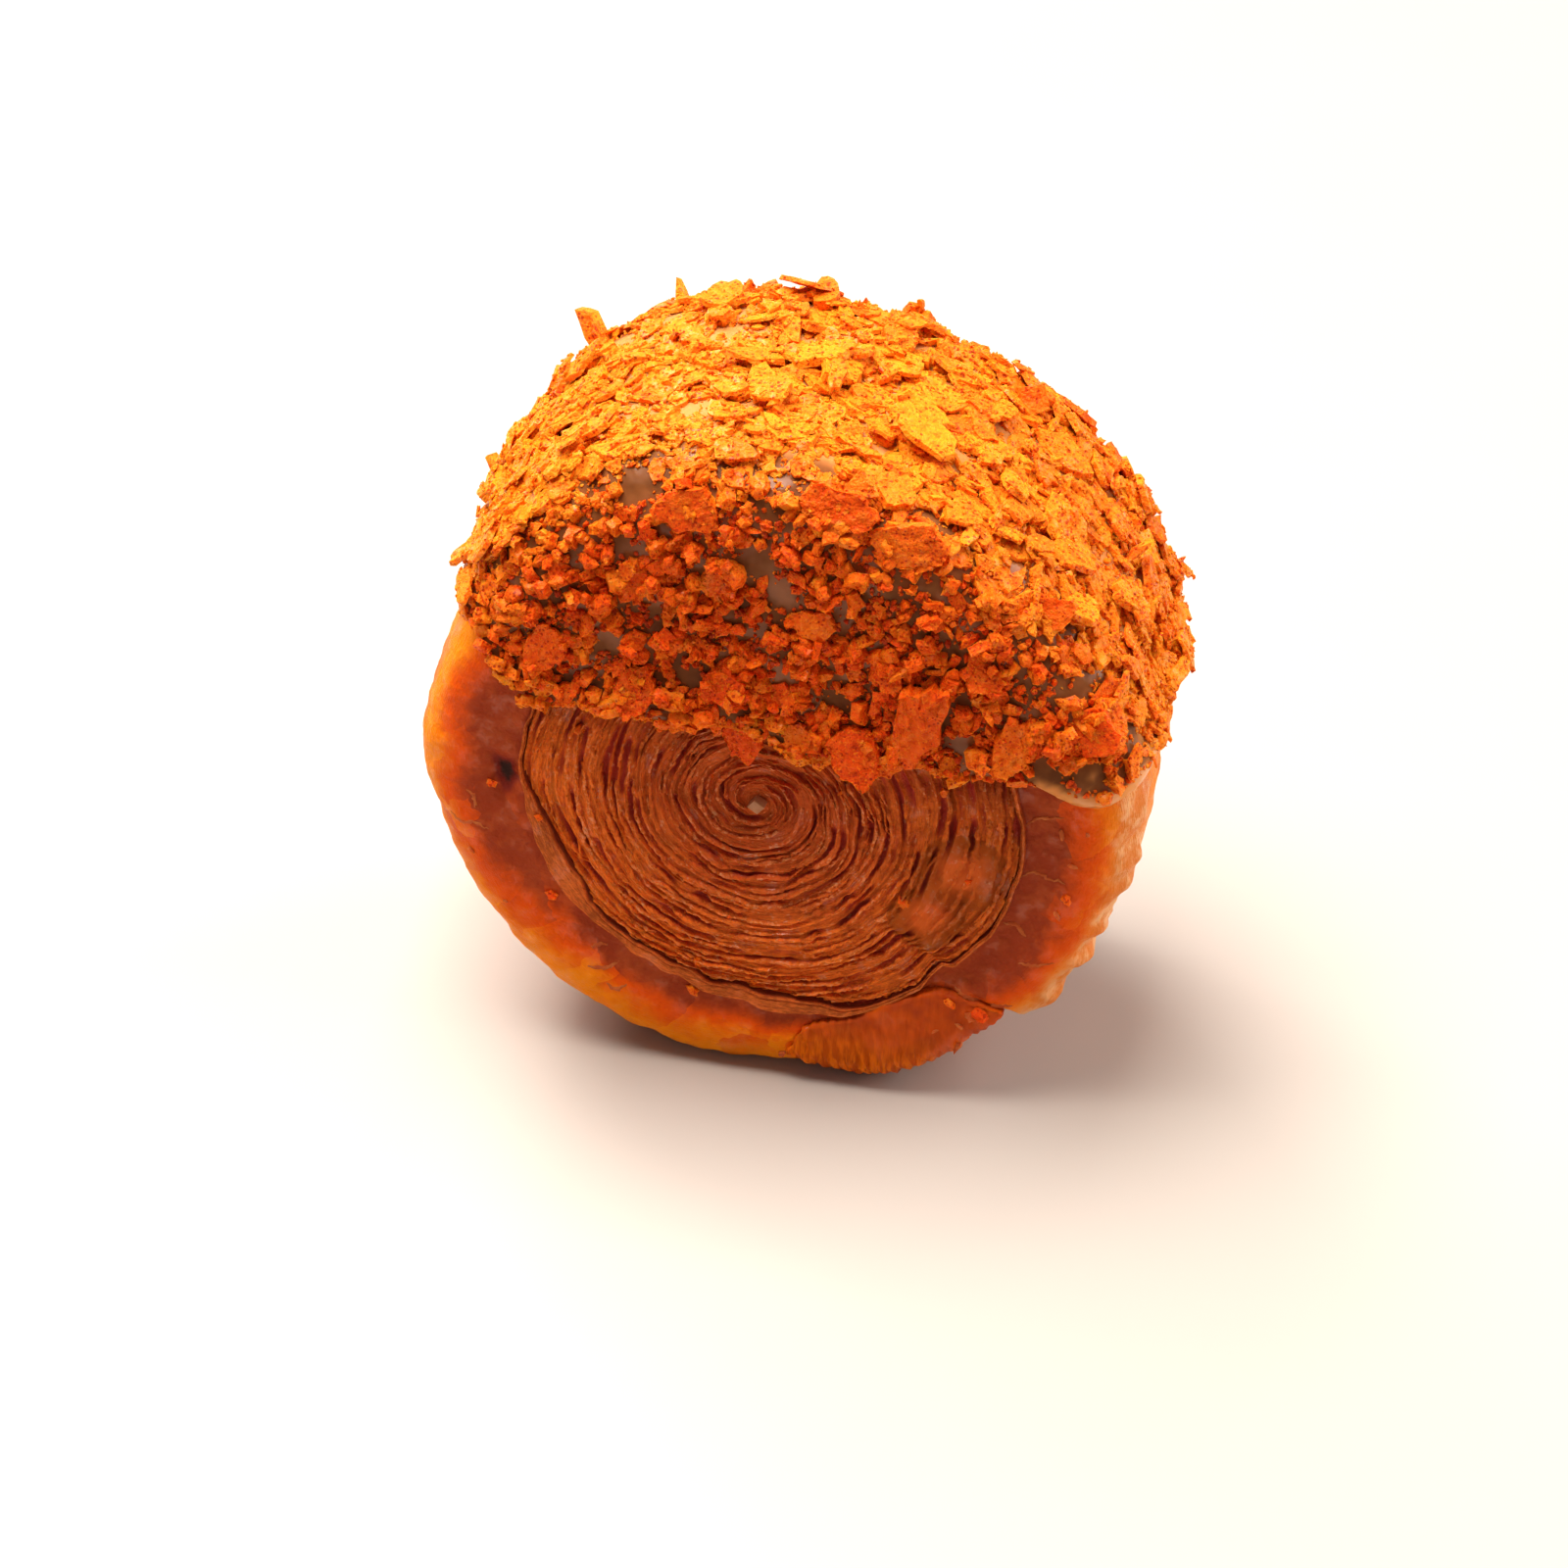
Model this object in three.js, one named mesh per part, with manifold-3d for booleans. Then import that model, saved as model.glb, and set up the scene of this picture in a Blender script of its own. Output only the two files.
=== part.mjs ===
// A rolled croissant standing on its rim: a strip of laminated dough wound into a thick disc, its upper
// half dipped in glaze and pressed into wafer flakes.
// Millimetres, +Z up. The roll's axis lies along Y, the front face looks along -Y, and the origin is
// the middle of the flat spot on the rim that the roll rests on.

import * as THREE from "three";
import { mergeVertices } from "three/addons/utils/BufferGeometryUtils.js";
import Module from "manifold-3d";

const wasm = await Module();
wasm.setup();

// Roll of dough
const ROLL_RADIUS = 50;
const ROLL_DEPTH = 51.5;
const CENTRE_HEIGHT = 49.3;
const EDGE_ROUND = 8;
const RIM_BULGE = 0.5;
const SWELLINGS = [
  { angle: -0.45, height: 1.2, sharpness: 14 },
  { angle: -2.0, height: 0.9, sharpness: 10 },
  { angle: Math.PI, height: 1.4, sharpness: 20 },
];
const RIM_SEGMENTS = 60;
const SECTION_DIVISIONS = 2;

// Wound layers on each face: a spiral gap, and a lip where the outer turn laps over it
const LAYER_PITCH = 4.4;
const LAYER_GAP = 1.1;
const LAYER_START = 3;
const LAYER_END = 34;
const LAYER_SEGMENTS = 22;
const LIP_RADIUS = 36.5;
const LIP_GAP_DEPTH = 1.5;

// End of the strip, tucked under at the lower right
const TAIL_DEPTH = 51.9;
const TAIL_EDGE = 1;
const TAIL_TIP_WIDTH = 3;
const TAIL_TIP = new THREE.Vector2(4, -44);
const TAIL_BEND = new THREE.Vector2(11, -37);
const TAIL_ROOT = new THREE.Vector2(24, -30);
const TAIL_LIP = new THREE.Vector2(33.5, -32);
const TAIL_CORNER = new THREE.Vector2(28.8, -41);
const TAIL_BELLY = new THREE.Vector2(18, -50);
const SEAM_WIDTH = 1.8;

// Glaze over the upper part, cut off along the dip line
const COAT_GAP = 0.3;
const COAT_SKIN = 1.8;
const COAT_ROOM = 1.9;
const DIP_HEIGHT = 9.5;
const DIP_SLOPE = -0.07;
const DIP_LEFT_RISE = 8;
const DIP_WAVE = 1.1;
const DIP_STEP = 2.5;

// Wafer flakes pressed into the glaze
const FLAKE_COUNT = 168;
const FLAKE_LARGEST = 5.3;
const FLAKE_SMALLEST = 2.9;
const FLAKE_THICKNESS = 1.4;
const FLAKE_TILT = 0.34;
const FLAKE_SEED = 11;

// Golden ratio of the plane: spreads points evenly in two directions at once
const SPREAD_U = 0.7548776662;
const SPREAD_V = 0.569840291;

const PASTRY = { color: 0x9c4212, roughness: 0.42, metalness: 0 };
const COAT = { color: 0xe57a1e, roughness: 0.55, metalness: 0 };

// Repeatable random numbers from 0 to 1
function seeded(seed) {
  let state = seed;
  return () => {
    state = (state * 1664525 + 1013904223) % 4294967296;
    return state / 4294967296;
  };
}

function smoothstep(low, high, value) {
  const t = Math.min(Math.max((value - low) / (high - low), 0), 1);
  return t * t * (3 - 2 * t);
}

// Outline of the whole, slightly out of round: leaning to the upper left and the lower right
function outlineRadius(angle) {
  const lean = -0.009 * Math.cos(2 * angle) - 0.02 * Math.sin(2 * angle);
  const lobes = 0.012 * Math.cos(3 * angle) + 0.003 * Math.sin(3 * angle);
  const corners = 0.015 * Math.sin(4 * angle) - 0.004 * Math.cos(4 * angle);
  const round = ROLL_RADIUS * (1 + lean + lobes + corners);
  return SWELLINGS.reduce((radius, swelling) => {
    const nearness = Math.exp(swelling.sharpness * (Math.cos(angle - swelling.angle) - 1));
    return radius + swelling.height * nearness;
  }, round);
}

// The dough itself, which leaves room for the coat above the dip line
function rollRadius(angle) {
  return outlineRadius(angle) - COAT_ROOM * smoothstep(-0.1, 0.4, Math.sin(angle));
}

// Height of the dip line over the roll's centre
function dipHeight(x) {
  const leftRise = DIP_LEFT_RISE * Math.exp(-(((x + 46) / 10) ** 2));
  const wave = DIP_WAVE * (Math.sin(x / 2.9) + 0.6 * Math.sin(x / 1.7 + 1));
  return DIP_HEIGHT + DIP_SLOPE * x + leftRise + wave;
}

// Half section from the front of the axis over the rim to its back, for a roll grown by some thickness
function plainSection(grow) {
  const radius = ROLL_RADIUS + grow;
  const front = -ROLL_DEPTH / 2 - grow;
  const round = EDGE_ROUND + grow;
  const section = new THREE.Path();
  section.moveTo(0, front);
  section.lineTo(radius - round, front);
  section.absarc(radius - round, front + round, round, -Math.PI / 2, 0);
  section.quadraticCurveTo(radius + RIM_BULGE, 0, radius, -front - round);
  section.absarc(radius - round, -front - round, round, 0, Math.PI / 2);
  section.lineTo(0, -front);
  return section;
}

// The same section with the lip and its gap on both faces
function pastrySection() {
  const front = -ROLL_DEPTH / 2;
  const lip = [
    new THREE.Vector2(LIP_RADIUS - 1.6, front),
    new THREE.Vector2(LIP_RADIUS - 0.9, front + LIP_GAP_DEPTH),
    new THREE.Vector2(LIP_RADIUS, front),
    new THREE.Vector2(LIP_RADIUS + 2.2, front + 0.5),
  ];
  const plain = plainSection(0).getPoints(SECTION_DIVISIONS);
  const backLip = lip.map((point) => new THREE.Vector2(point.x, -point.y)).reverse();
  return [plain[0], ...lip, ...plain.slice(1, -1), ...backLip, plain.at(-1)];
}

function solid(geometry) {
  geometry.deleteAttribute("normal");
  geometry.deleteAttribute("uv");
  const merged = mergeVertices(geometry, 1e-4);
  const index = merged.index.array;
  const triangles = [];
  for (let i = 0; i < index.length; i += 3) {
    const [a, b, c] = index.slice(i, i + 3);
    if (a !== b && b !== c && c !== a) {
      triangles.push(a, b, c);
    }
  }
  return new wasm.Manifold(
    new wasm.Mesh({
      numProp: 3,
      vertProperties: new Float32Array(merged.attributes.position.array),
      triVerts: new Uint32Array(triangles),
    }),
  );
}

// A section turned about the roll's axis and pushed to the roll's outline
function drum(points) {
  const lathe = new THREE.LatheGeometry(points, RIM_SEGMENTS);
  const position = lathe.attributes.position;
  for (let i = 0; i < position.count; i += 1) {
    const x = position.getX(i);
    const z = position.getZ(i);
    const stretch = rollRadius(Math.atan2(z, x)) / ROLL_RADIUS;
    position.setXYZ(i, x * stretch, position.getY(i), z * stretch);
  }
  return solid(lathe);
}

// An outline in X and Z carried through the roll along Y
function slab(shape, depth, edge) {
  const geometry = new THREE.ExtrudeGeometry(shape, {
    depth: depth - 2 * edge,
    bevelEnabled: edge > 0,
    bevelThickness: edge,
    bevelSize: edge,
    bevelOffset: -edge,
    bevelSegments: 1,
    curveSegments: 6,
  });
  geometry.translate(0, 0, -depth / 2 + edge);
  geometry.rotateX(Math.PI / 2);
  return solid(geometry);
}

// The gap between the wound layers, running outwards clockwise as the front face shows it
class LayerSpiral extends THREE.Curve {
  constructor(y) {
    super();
    this.y = y;
    this.turns = (LAYER_END - LAYER_START) / LAYER_PITCH;
  }

  getPoint(t, target = new THREE.Vector3()) {
    const angle = -2 * Math.PI * this.turns * t;
    const radius = LAYER_START + (LAYER_END - LAYER_START) * t;
    return target.set(radius * Math.cos(angle), this.y, radius * Math.sin(angle));
  }
}

// A narrow gap cut along a curve on a face
function gap(curve, steps) {
  const section = new THREE.Shape();
  section.absarc(0, 0, LAYER_GAP, 0, 2 * Math.PI);
  return solid(new THREE.ExtrudeGeometry(section, { steps, curveSegments: 2, extrudePath: curve }));
}

function layerGap(y) {
  const spiral = new LayerSpiral(y);
  return gap(spiral, Math.round(spiral.turns * LAYER_SEGMENTS));
}

// Leaf-shaped end of the strip: its tip under the roll, its thick part below the outer turn
function tail() {
  const leaf = new THREE.Shape();
  leaf.moveTo(TAIL_TIP.x, TAIL_TIP.y);
  leaf.quadraticCurveTo(TAIL_BEND.x, TAIL_BEND.y, TAIL_ROOT.x, TAIL_ROOT.y);
  leaf.lineTo(TAIL_LIP.x, TAIL_LIP.y);
  leaf.lineTo(TAIL_CORNER.x, TAIL_CORNER.y);
  leaf.quadraticCurveTo(TAIL_BELLY.x, TAIL_BELLY.y, TAIL_TIP.x, TAIL_TIP.y - TAIL_TIP_WIDTH);
  return slab(leaf, TAIL_DEPTH, TAIL_EDGE);
}

// Gap between the tail and the turn inside it, as each face shows it
function tailGap(y) {
  const [tip, bend, root] = [TAIL_TIP, TAIL_BEND, TAIL_ROOT].map((at) => new THREE.Vector3(at.x, y, at.y));
  return gap(new THREE.QuadraticBezierCurve3(tip, bend, root), 8);
}

// Slot right across the rim where the outer turn ends over the tail
function endSeam() {
  const outside = TAIL_LIP.clone().multiplyScalar(1.2);
  const wedge = new THREE.Shape();
  wedge.moveTo(TAIL_ROOT.x - SEAM_WIDTH, TAIL_ROOT.y);
  wedge.lineTo(outside.x, outside.y);
  wedge.lineTo(outside.x, outside.y + SEAM_WIDTH);
  return slab(wedge, 2 * ROLL_DEPTH, 0);
}

function pastryRoll() {
  const reach = 2 * ROLL_RADIUS;
  const floor = new THREE.BoxGeometry(reach, reach, reach);
  floor.translate(0, 0, -CENTRE_HEIGHT - reach / 2);
  const face = ROLL_DEPTH / 2;
  const cuts = [layerGap(-face), layerGap(face), tailGap(-face), tailGap(face), endSeam(), solid(floor)];
  return cuts.reduce((body, cut) => body.subtract(cut), drum(pastrySection()).add(tail()));
}

// Everything above the wavy dip line
function dippedRegion() {
  const reach = 1.4 * ROLL_RADIUS;
  const region = new THREE.Shape();
  region.moveTo(-reach, reach);
  for (let x = -reach; x <= reach; x += DIP_STEP) {
    region.lineTo(x, dipHeight(x));
  }
  region.lineTo(reach, reach);
  return slab(region, 2 * ROLL_DEPTH, 0);
}

function flake(size, random) {
  const corners = 5 + Math.floor(2 * random());
  const outline = [];
  for (let i = 0; i < corners; i += 1) {
    const angle = (2 * Math.PI * (i + 0.5 * random())) / corners;
    const radius = size * (0.65 + 0.35 * random());
    outline.push(new THREE.Vector2(radius * Math.cos(angle), 0.8 * radius * Math.sin(angle)));
  }
  const geometry = new THREE.ExtrudeGeometry(new THREE.Shape(outline), {
    depth: FLAKE_THICKNESS,
    bevelEnabled: false,
  });
  return geometry.translate(0, 0, -FLAKE_THICKNESS / 2);
}

// Flakes spread evenly over the glaze, the largest first, each turned and tilted at random
function flakes() {
  const random = seeded(FLAKE_SEED);
  const section = plainSection(COAT_GAP + COAT_SKIN);
  const placed = [];
  for (let i = 1; placed.length < FLAKE_COUNT; i += 1) {
    const along = (i * SPREAD_U) % 1;
    const angle = 2 * Math.PI * ((i * SPREAD_V) % 1);
    const point = section.getPointAt(along);
    const tangent = section.getTangentAt(along);
    const radius = (point.x * rollRadius(angle)) / ROLL_RADIUS;
    const spot = new THREE.Vector3(radius * Math.cos(angle), point.y, radius * Math.sin(angle));
    const outward = new THREE.Vector3(
      tangent.y * Math.cos(angle),
      -tangent.x,
      tangent.y * Math.sin(angle),
    );
    const size = THREE.MathUtils.lerp(FLAKE_LARGEST, FLAKE_SMALLEST, placed.length / FLAKE_COUNT);
    if (random() * ROLL_RADIUS > radius || spot.z < dipHeight(spot.x) + 0.3 * size) {
      continue;
    }
    const lean = new THREE.Vector3(random() - 0.5, random() - 0.5, random() - 0.5);
    outward.addScaledVector(lean, 2 * FLAKE_TILT).normalize();
    const turn = new THREE.Quaternion().setFromUnitVectors(new THREE.Vector3(0, 0, 1), outward);
    const geometry = flake(size, random).rotateZ(2 * Math.PI * random());
    geometry.applyQuaternion(turn).translate(spot.x, spot.y, spot.z);
    placed.push(solid(geometry));
  }
  return placed;
}

// Glaze and flakes in one piece, clear of the dough that they lie on
function flakeCoat() {
  const glaze = drum(plainSection(COAT_GAP + COAT_SKIN).getPoints(SECTION_DIVISIONS)).intersect(dippedRegion());
  const covered = wasm.Manifold.union([glaze, ...flakes()]);
  const bodies = covered.subtract(drum(plainSection(COAT_GAP).getPoints(SECTION_DIVISIONS))).decompose();
  return bodies.reduce((largest, body) => (body.volume() > largest.volume() ? body : largest));
}

function mesh(name, body, finish) {
  const result = body.getMesh();
  const geometry = new THREE.BufferGeometry();
  geometry.setAttribute("position", new THREE.BufferAttribute(result.vertProperties, 3));
  geometry.setIndex(new THREE.BufferAttribute(result.triVerts, 1));
  geometry.computeVertexNormals();
  const piece = new THREE.Mesh(geometry, new THREE.MeshStandardMaterial(finish));
  piece.name = name;
  return piece;
}

const roll = new THREE.Group();
roll.position.z = CENTRE_HEIGHT;
roll.add(mesh("pastry_roll", pastryRoll(), PASTRY));
roll.add(mesh("flake_coat", flakeCoat(), COAT));

const part = new THREE.Group();
part.add(roll);

export default part;
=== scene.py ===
"""Rolled croissant, dressed over its solids: wound dough, glaze, wafer flakes, crumbs and a plain stage."""

import math

import bpy
import numpy as np
from bpy.props import FloatProperty, FloatVectorProperty, IntProperty, PointerProperty
from mathutils import Matrix, Quaternion, Vector
from mathutils.bvhtree import BVHTree


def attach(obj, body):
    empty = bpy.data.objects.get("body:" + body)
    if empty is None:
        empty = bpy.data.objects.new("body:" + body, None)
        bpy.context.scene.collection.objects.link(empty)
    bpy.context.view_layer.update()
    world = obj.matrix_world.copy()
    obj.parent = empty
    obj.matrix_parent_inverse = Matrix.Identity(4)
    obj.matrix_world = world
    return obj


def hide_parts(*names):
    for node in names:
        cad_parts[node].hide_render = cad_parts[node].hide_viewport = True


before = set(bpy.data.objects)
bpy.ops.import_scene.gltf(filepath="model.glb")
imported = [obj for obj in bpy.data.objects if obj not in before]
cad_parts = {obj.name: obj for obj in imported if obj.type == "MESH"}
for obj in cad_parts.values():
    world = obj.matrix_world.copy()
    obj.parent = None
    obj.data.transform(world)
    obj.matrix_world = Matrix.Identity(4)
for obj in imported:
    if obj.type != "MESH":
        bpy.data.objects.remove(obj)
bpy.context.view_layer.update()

bl_info = {
    "name": "Rolled croissant",
    "version": (1, 0, 0),
    "blender": (4, 5, 0),
    "location": "3D View > Sidebar > Croissant",
    "description": "Builds a rolled croissant, dipped in glaze and pressed into wafer flakes",
    "category": "Add Mesh",
}

MM = 0.001
BODY = "root"
ROLL_NODE = "pastry_roll"
COAT_NODE = "flake_coat"

# Rows across one layer of dough, where 0 is the gap and 0.5 the ridge
FRONT_LAYER_ROWS = (0.0, 0.3, 0.5, 0.7)
BACK_LAYER_ROWS = (0.0, 0.34, 0.62)

# Columns round the wound dough, and the share of their density that is left where the coat hides it
ROLL_COLUMNS = 320
HIDDEN_COLUMN_SHARE = 0.12

# Rows of the crust: on the side of the outer turn, on its rounded edge and on half of the rim
BAND_ROWS = 9
ROUND_ROWS = 13
RIM_ROWS = 8

# How far the winding runs on under the lip, as a factor of the lip's radius
PAST_LIP = 1.09

# Knots of the random waves along the winding and along one sheet, and where the winding's waves begin
WINDING_KNOTS = 997
WINDING_START = 300
SHEET_KNOTS = 1999

# The fewest sections of a run of a sheet that shows
SHORTEST_RUN = 8

# Columns of the glaze round the roll
GLAZE_COLUMNS = 240

# How far in front of the axis a ray starts that looks for the front face
IN_FRONT = 60 * MM

# The height a flake comes down from, how far it looks for ground, and the room it needs over what is there
LAY_HEIGHT = 9 * MM
LAY_REACH = 13 * MM
LAY_ROOM = 5.6 * MM

# Edges sharper than these stay sharp in the shading
DOUGH_SMOOTHING = math.radians(50)
FLAKE_SMOOTHING = math.radians(48)
CRYSTAL_SMOOTHING = math.radians(30)

# The leaf-shaped end of the strip: its borders on the front in millimetres from the axis, and its sections
LEAF_TOP = ((4, -43.6), (6.2, -39.3), (12.8, -36.5), (18.3, -33), (24.1, -30.2), (29.2, -30.8), (34, -32))
LEAF_BOTTOM = ((4, -44.2), (8, -48.5), (14, -49.3), (20, -47.8), (26, -44), (31, -38.2), (34.2, -32.6))
LEAF_SECTIONS = 97

# Large slabs that stand out on the front face: X and height from the axis, length, breadth and turn
FRONT_SLABS = (
    (-6.6, 17.9, 6.8, 6.4, 20), (-3.7, 9.6, 8.2, 5.2, 80), (3.7, 11.5, 4.4, 3.6, 70),
    (12.6, 10.6, 9.0, 6.2, 110), (20.5, 17.0, 13.4, 7.2, 82), (15.8, 7.1, 5.2, 4.0, 40),
    (-18.9, 15.6, 8.0, 5.2, 60), (-12.5, 44.6, 9.0, 6.5, 10), (7.1, 46.5, 9.0, 6.0, 170),
    (18.6, 42.2, 9.0, 6.5, 0), (-31.1, 20.6, 7.5, 5.0, 60), (-19.2, 32.9, 5.0, 4.0, 100),
    (-7.4, 35.6, 5.6, 4.2, 45), (5.8, 30.0, 5.6, 4.2, 15), (15.7, 23.8, 5.0, 3.6, 90),
    (33.4, 14.2, 8.6, 5.2, 75), (28.2, 25.2, 5.6, 4.2, 120), (35.6, 32.2, 7.0, 5.0, 30),
    (43.0, 17.0, 7.0, 6.5, 20),
)

# Splinters that stand up from the rim: angle round the roll, Y, size and lean
SPLINTERS = (
    (131, 22, 8, 60), (155, 13, 6, 55), (57, 15, 6, 50), (117, 25, 6, 45), (93, 22, 6, 10), (30, 6, 5, 45),
)

# Loose crumbs on the bare front face: X and height from the axis, and size
LOOSE_CRUMBS = (
    (-26.8, 6.1, 1.7), (-39.1, -4.8, 1.6), (-32.3, -9.2, 1.2), (-30.4, -22.6, 2.0),
    (-9.4, -30.4, 1.8), (-1.5, -32.5, 1.7), (-10.1, -35.7, 1.8), (19.2, -15.1, 2.0),
    (41.6, -11.2, 1.6), (17.4, -32.7, 1.8), (26.5, -31.2, 1.8), (30.7, -32.7, 2.4),
    (-14.3, -18.5, 1.1), (7.3, -17.9, 0.9), (-8.3, 0.8, 0.9), (-10.2, -2.0, 0.8), (9.6, 1.2, 0.8),
    (-15.5, 8.5, 1.3), (28.0, -10.5, 1.0), (-5.0, -21.6, 0.9), (24.0, 4.0, 1.6), (-7.0, -14.5, 0.7),
)

# Creases of dried glaze on the side of the outer turn: width, then X and height from the axis along them
CREASES = (
    (0.5, (34.8, -1.0), (36.5, 0.4), (38.7, 1.1), (40.3, 1.5)),
    (0.45, (35.3, -9.0), (37.0, -8.4), (38.9, -8.9), (41.2, -9.0)),
    (0.8, (33.2, -17.5), (34.7, -17.7), (36.2, -19.2)),
    (0.5, (35.6, -23.4), (37.5, -23.3), (40.6, -23.0)),
    (1.0, (26.8, -29.6), (28.6, -30.3), (30.9, -31.2), (33.2, -31.3), (35.2, -31.5)),
    (0.6, (-24.9, -30.8), (-23.6, -30.1), (-22.3, -29.9)),
    (0.6, (-25.1, -33.7), (-23.8, -34.0), (-22.1, -33.7), (-20.6, -32.7)),
    (0.7, (-22.4, -36.7), (-20.9, -37.2), (-19.5, -36.2)),
    (0.5, (-45.1, -11.1), (-43.4, -12.2), (-41.4, -11.7), (-39.4, -12.6)),
    (0.5, (-42.5, -6.3), (-41.5, -7.2), (-41.4, -9.2)),
)

# Bits of dried glaze on the front: X and height from the axis, and size
PALE_BITS = (
    (29.3, -33.3, 3.4), (28.0, -35.1, 1.6), (24.7, -36.4, 1.4), (27.6, -40.5, 3.6),
    (40.2, -1.3, 2.2), (40.6, -14.4, 2.0), (42.1, -5.7, 1.8), (43.8, -0.1, 1.2),
    (-41.9, -17.0, 1.5), (-37.0, -24.6, 1.2), (3.0, -45.0, 2.6),
)

# Where dried glaze fills the gaps between the layers: X and height from the axis, and reach
FILLED_SPOTS = ((27, -9.5, 6.5), (22.5, -17.5, 5.5))

# A dent in the outer turn, painted near black as shade: X and height from the axis, and reach
DARK_DENT = (-37.2, -3.2, 2.9)

# Where the glaze stays bare: X, Y and height from the axis, and reach; it stands thick on the first two
BARE_SPOTS = (
    (43.8, -27, 10.5, 1.8), (-47.0, -18, 16.0, 4.5), (43.6, 0, 28.3, 1.6), (38.7, -24, 30.8, 1.4),
    (42.2, -25, 23.4, 1.6), (40.4, 5, 32.7, 1.5), (21.5, -22, 46.1, 1.5), (-30.6, 17, 42.1, 2.2),
    (-22.8, 17, 46.7, 1.6), (-14.3, 11, 50.0, 1.4), (-15.6, -10, 49.6, 1.4), (5.4, -19, 51.6, 2.2),
    (0.4, -24, 50.1, 1.6), (-20.0, -24, 45.5, 1.8), (-2.7, -28, 38.4, 1.8), (0.9, -28, 33.5, 1.8),
    (-22.1, -28, 22.5, 1.5), (-11.1, -28, 18.4, 1.5), (1.6, -28, 20.4, 1.2), (9.8, -28, 18.0, 1.2),
    (-20.5, -28, 37.8, 1.2), (37.8, -28, 10.0, 1.8), (26.0, -28, 13.5, 1.2),
)


def size_setting(name, description, default):
    return FloatProperty(name=name, description=description, default=default, unit="LENGTH")


def angle_setting(name, description, degrees):
    return FloatProperty(name=name, description=description, default=math.radians(degrees), subtype="ANGLE")


def power_setting(name, description, watts):
    return FloatProperty(name=name, description=description, default=watts, subtype="POWER")


def count_setting(name, description, default):
    return IntProperty(name=name, description=description, default=default)


def colour_setting(name, description, default):
    return FloatVectorProperty(name=name, description=description, default=default, subtype="COLOR")


class RollSettings(bpy.types.PropertyGroup):
    """Sizes and colours of the wound dough."""

    axis_height: size_setting("Axis height", "Height of the roll's axis over its foot", 0.0493)
    radius: size_setting("Radius", "Mean radius of the rim", 0.05)
    depth: size_setting("Depth", "Distance between the two faces", 0.0515)
    edge_round: size_setting("Edge rounding", "Rounding between the rim and each face", 0.008)
    layer_pitch: size_setting("Layer pitch", "Thickness of one layer of dough", 0.00125)
    layers_per_turn: count_setting("Layers per turn", "Layers that the strip holds, so that one turn adds", 5)
    strays_per_turn: count_setting("Strays per turn", "Thin loose edges that show in one turn", 5)
    gap_depth: size_setting("Gap depth", "Depth of an open gap between layers", 0.0011)
    lip_radius: size_setting("Lip radius", "Mean radius where the outer turn laps over the layers", 0.0359)
    seed: count_setting("Seed", "Seed of the layers' irregularity", 4)
    core_colour: colour_setting("Core colour", "Layers near the middle", (0.62, 0.1, 0.018))
    layer_colour: colour_setting("Layer colour", "Layers further out", (0.88, 0.172, 0.018))
    # Painted shade in the deep gaps between layers and along the lip's foot
    gap_shade_colour: colour_setting("Gap colour", "Deep gaps between layers", (0.46, 0.048, 0.028))
    # Painted highlights on the thin edges of the layers
    edge_highlight_colour: colour_setting("Edge colour", "Thin pale edges of the layers", (0.9, 0.3, 0.115))
    lip_colour: colour_setting("Lip colour", "Edge of the outer turn", (0.76, 0.16, 0.028))
    band_colour: colour_setting("Band colour", "Dark side of the outer turn", (0.32, 0.04, 0.01))
    crust_colour: colour_setting("Crust colour", "Red-brown crust of the outer turn", (0.75, 0.08, 0.002))
    rim_colour: colour_setting("Rim colour", "Amber crust of the rim", (0.95, 0.25, 0.002))
    # Painted shade inside the dent
    dent_shade_colour: colour_setting("Dent colour", "Dark dent in the outer turn", (0.045, 0.016, 0.012))
    # Pale creases and specks of glaze, also used for the painted glints on the layers
    crease_and_glint_colour: colour_setting("Crease colour", "Pale creases and specks of glaze", (0.9, 0.5, 0.22))
    sugar_colour: colour_setting("Sugar colour", "Clear parts of the sugar crystal", (0.3, 0.11, 0.045))
    pale_sugar_colour: colour_setting("Pale sugar colour", "Cloudy parts of the crystal", (0.5, 0.24, 0.12))


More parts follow.
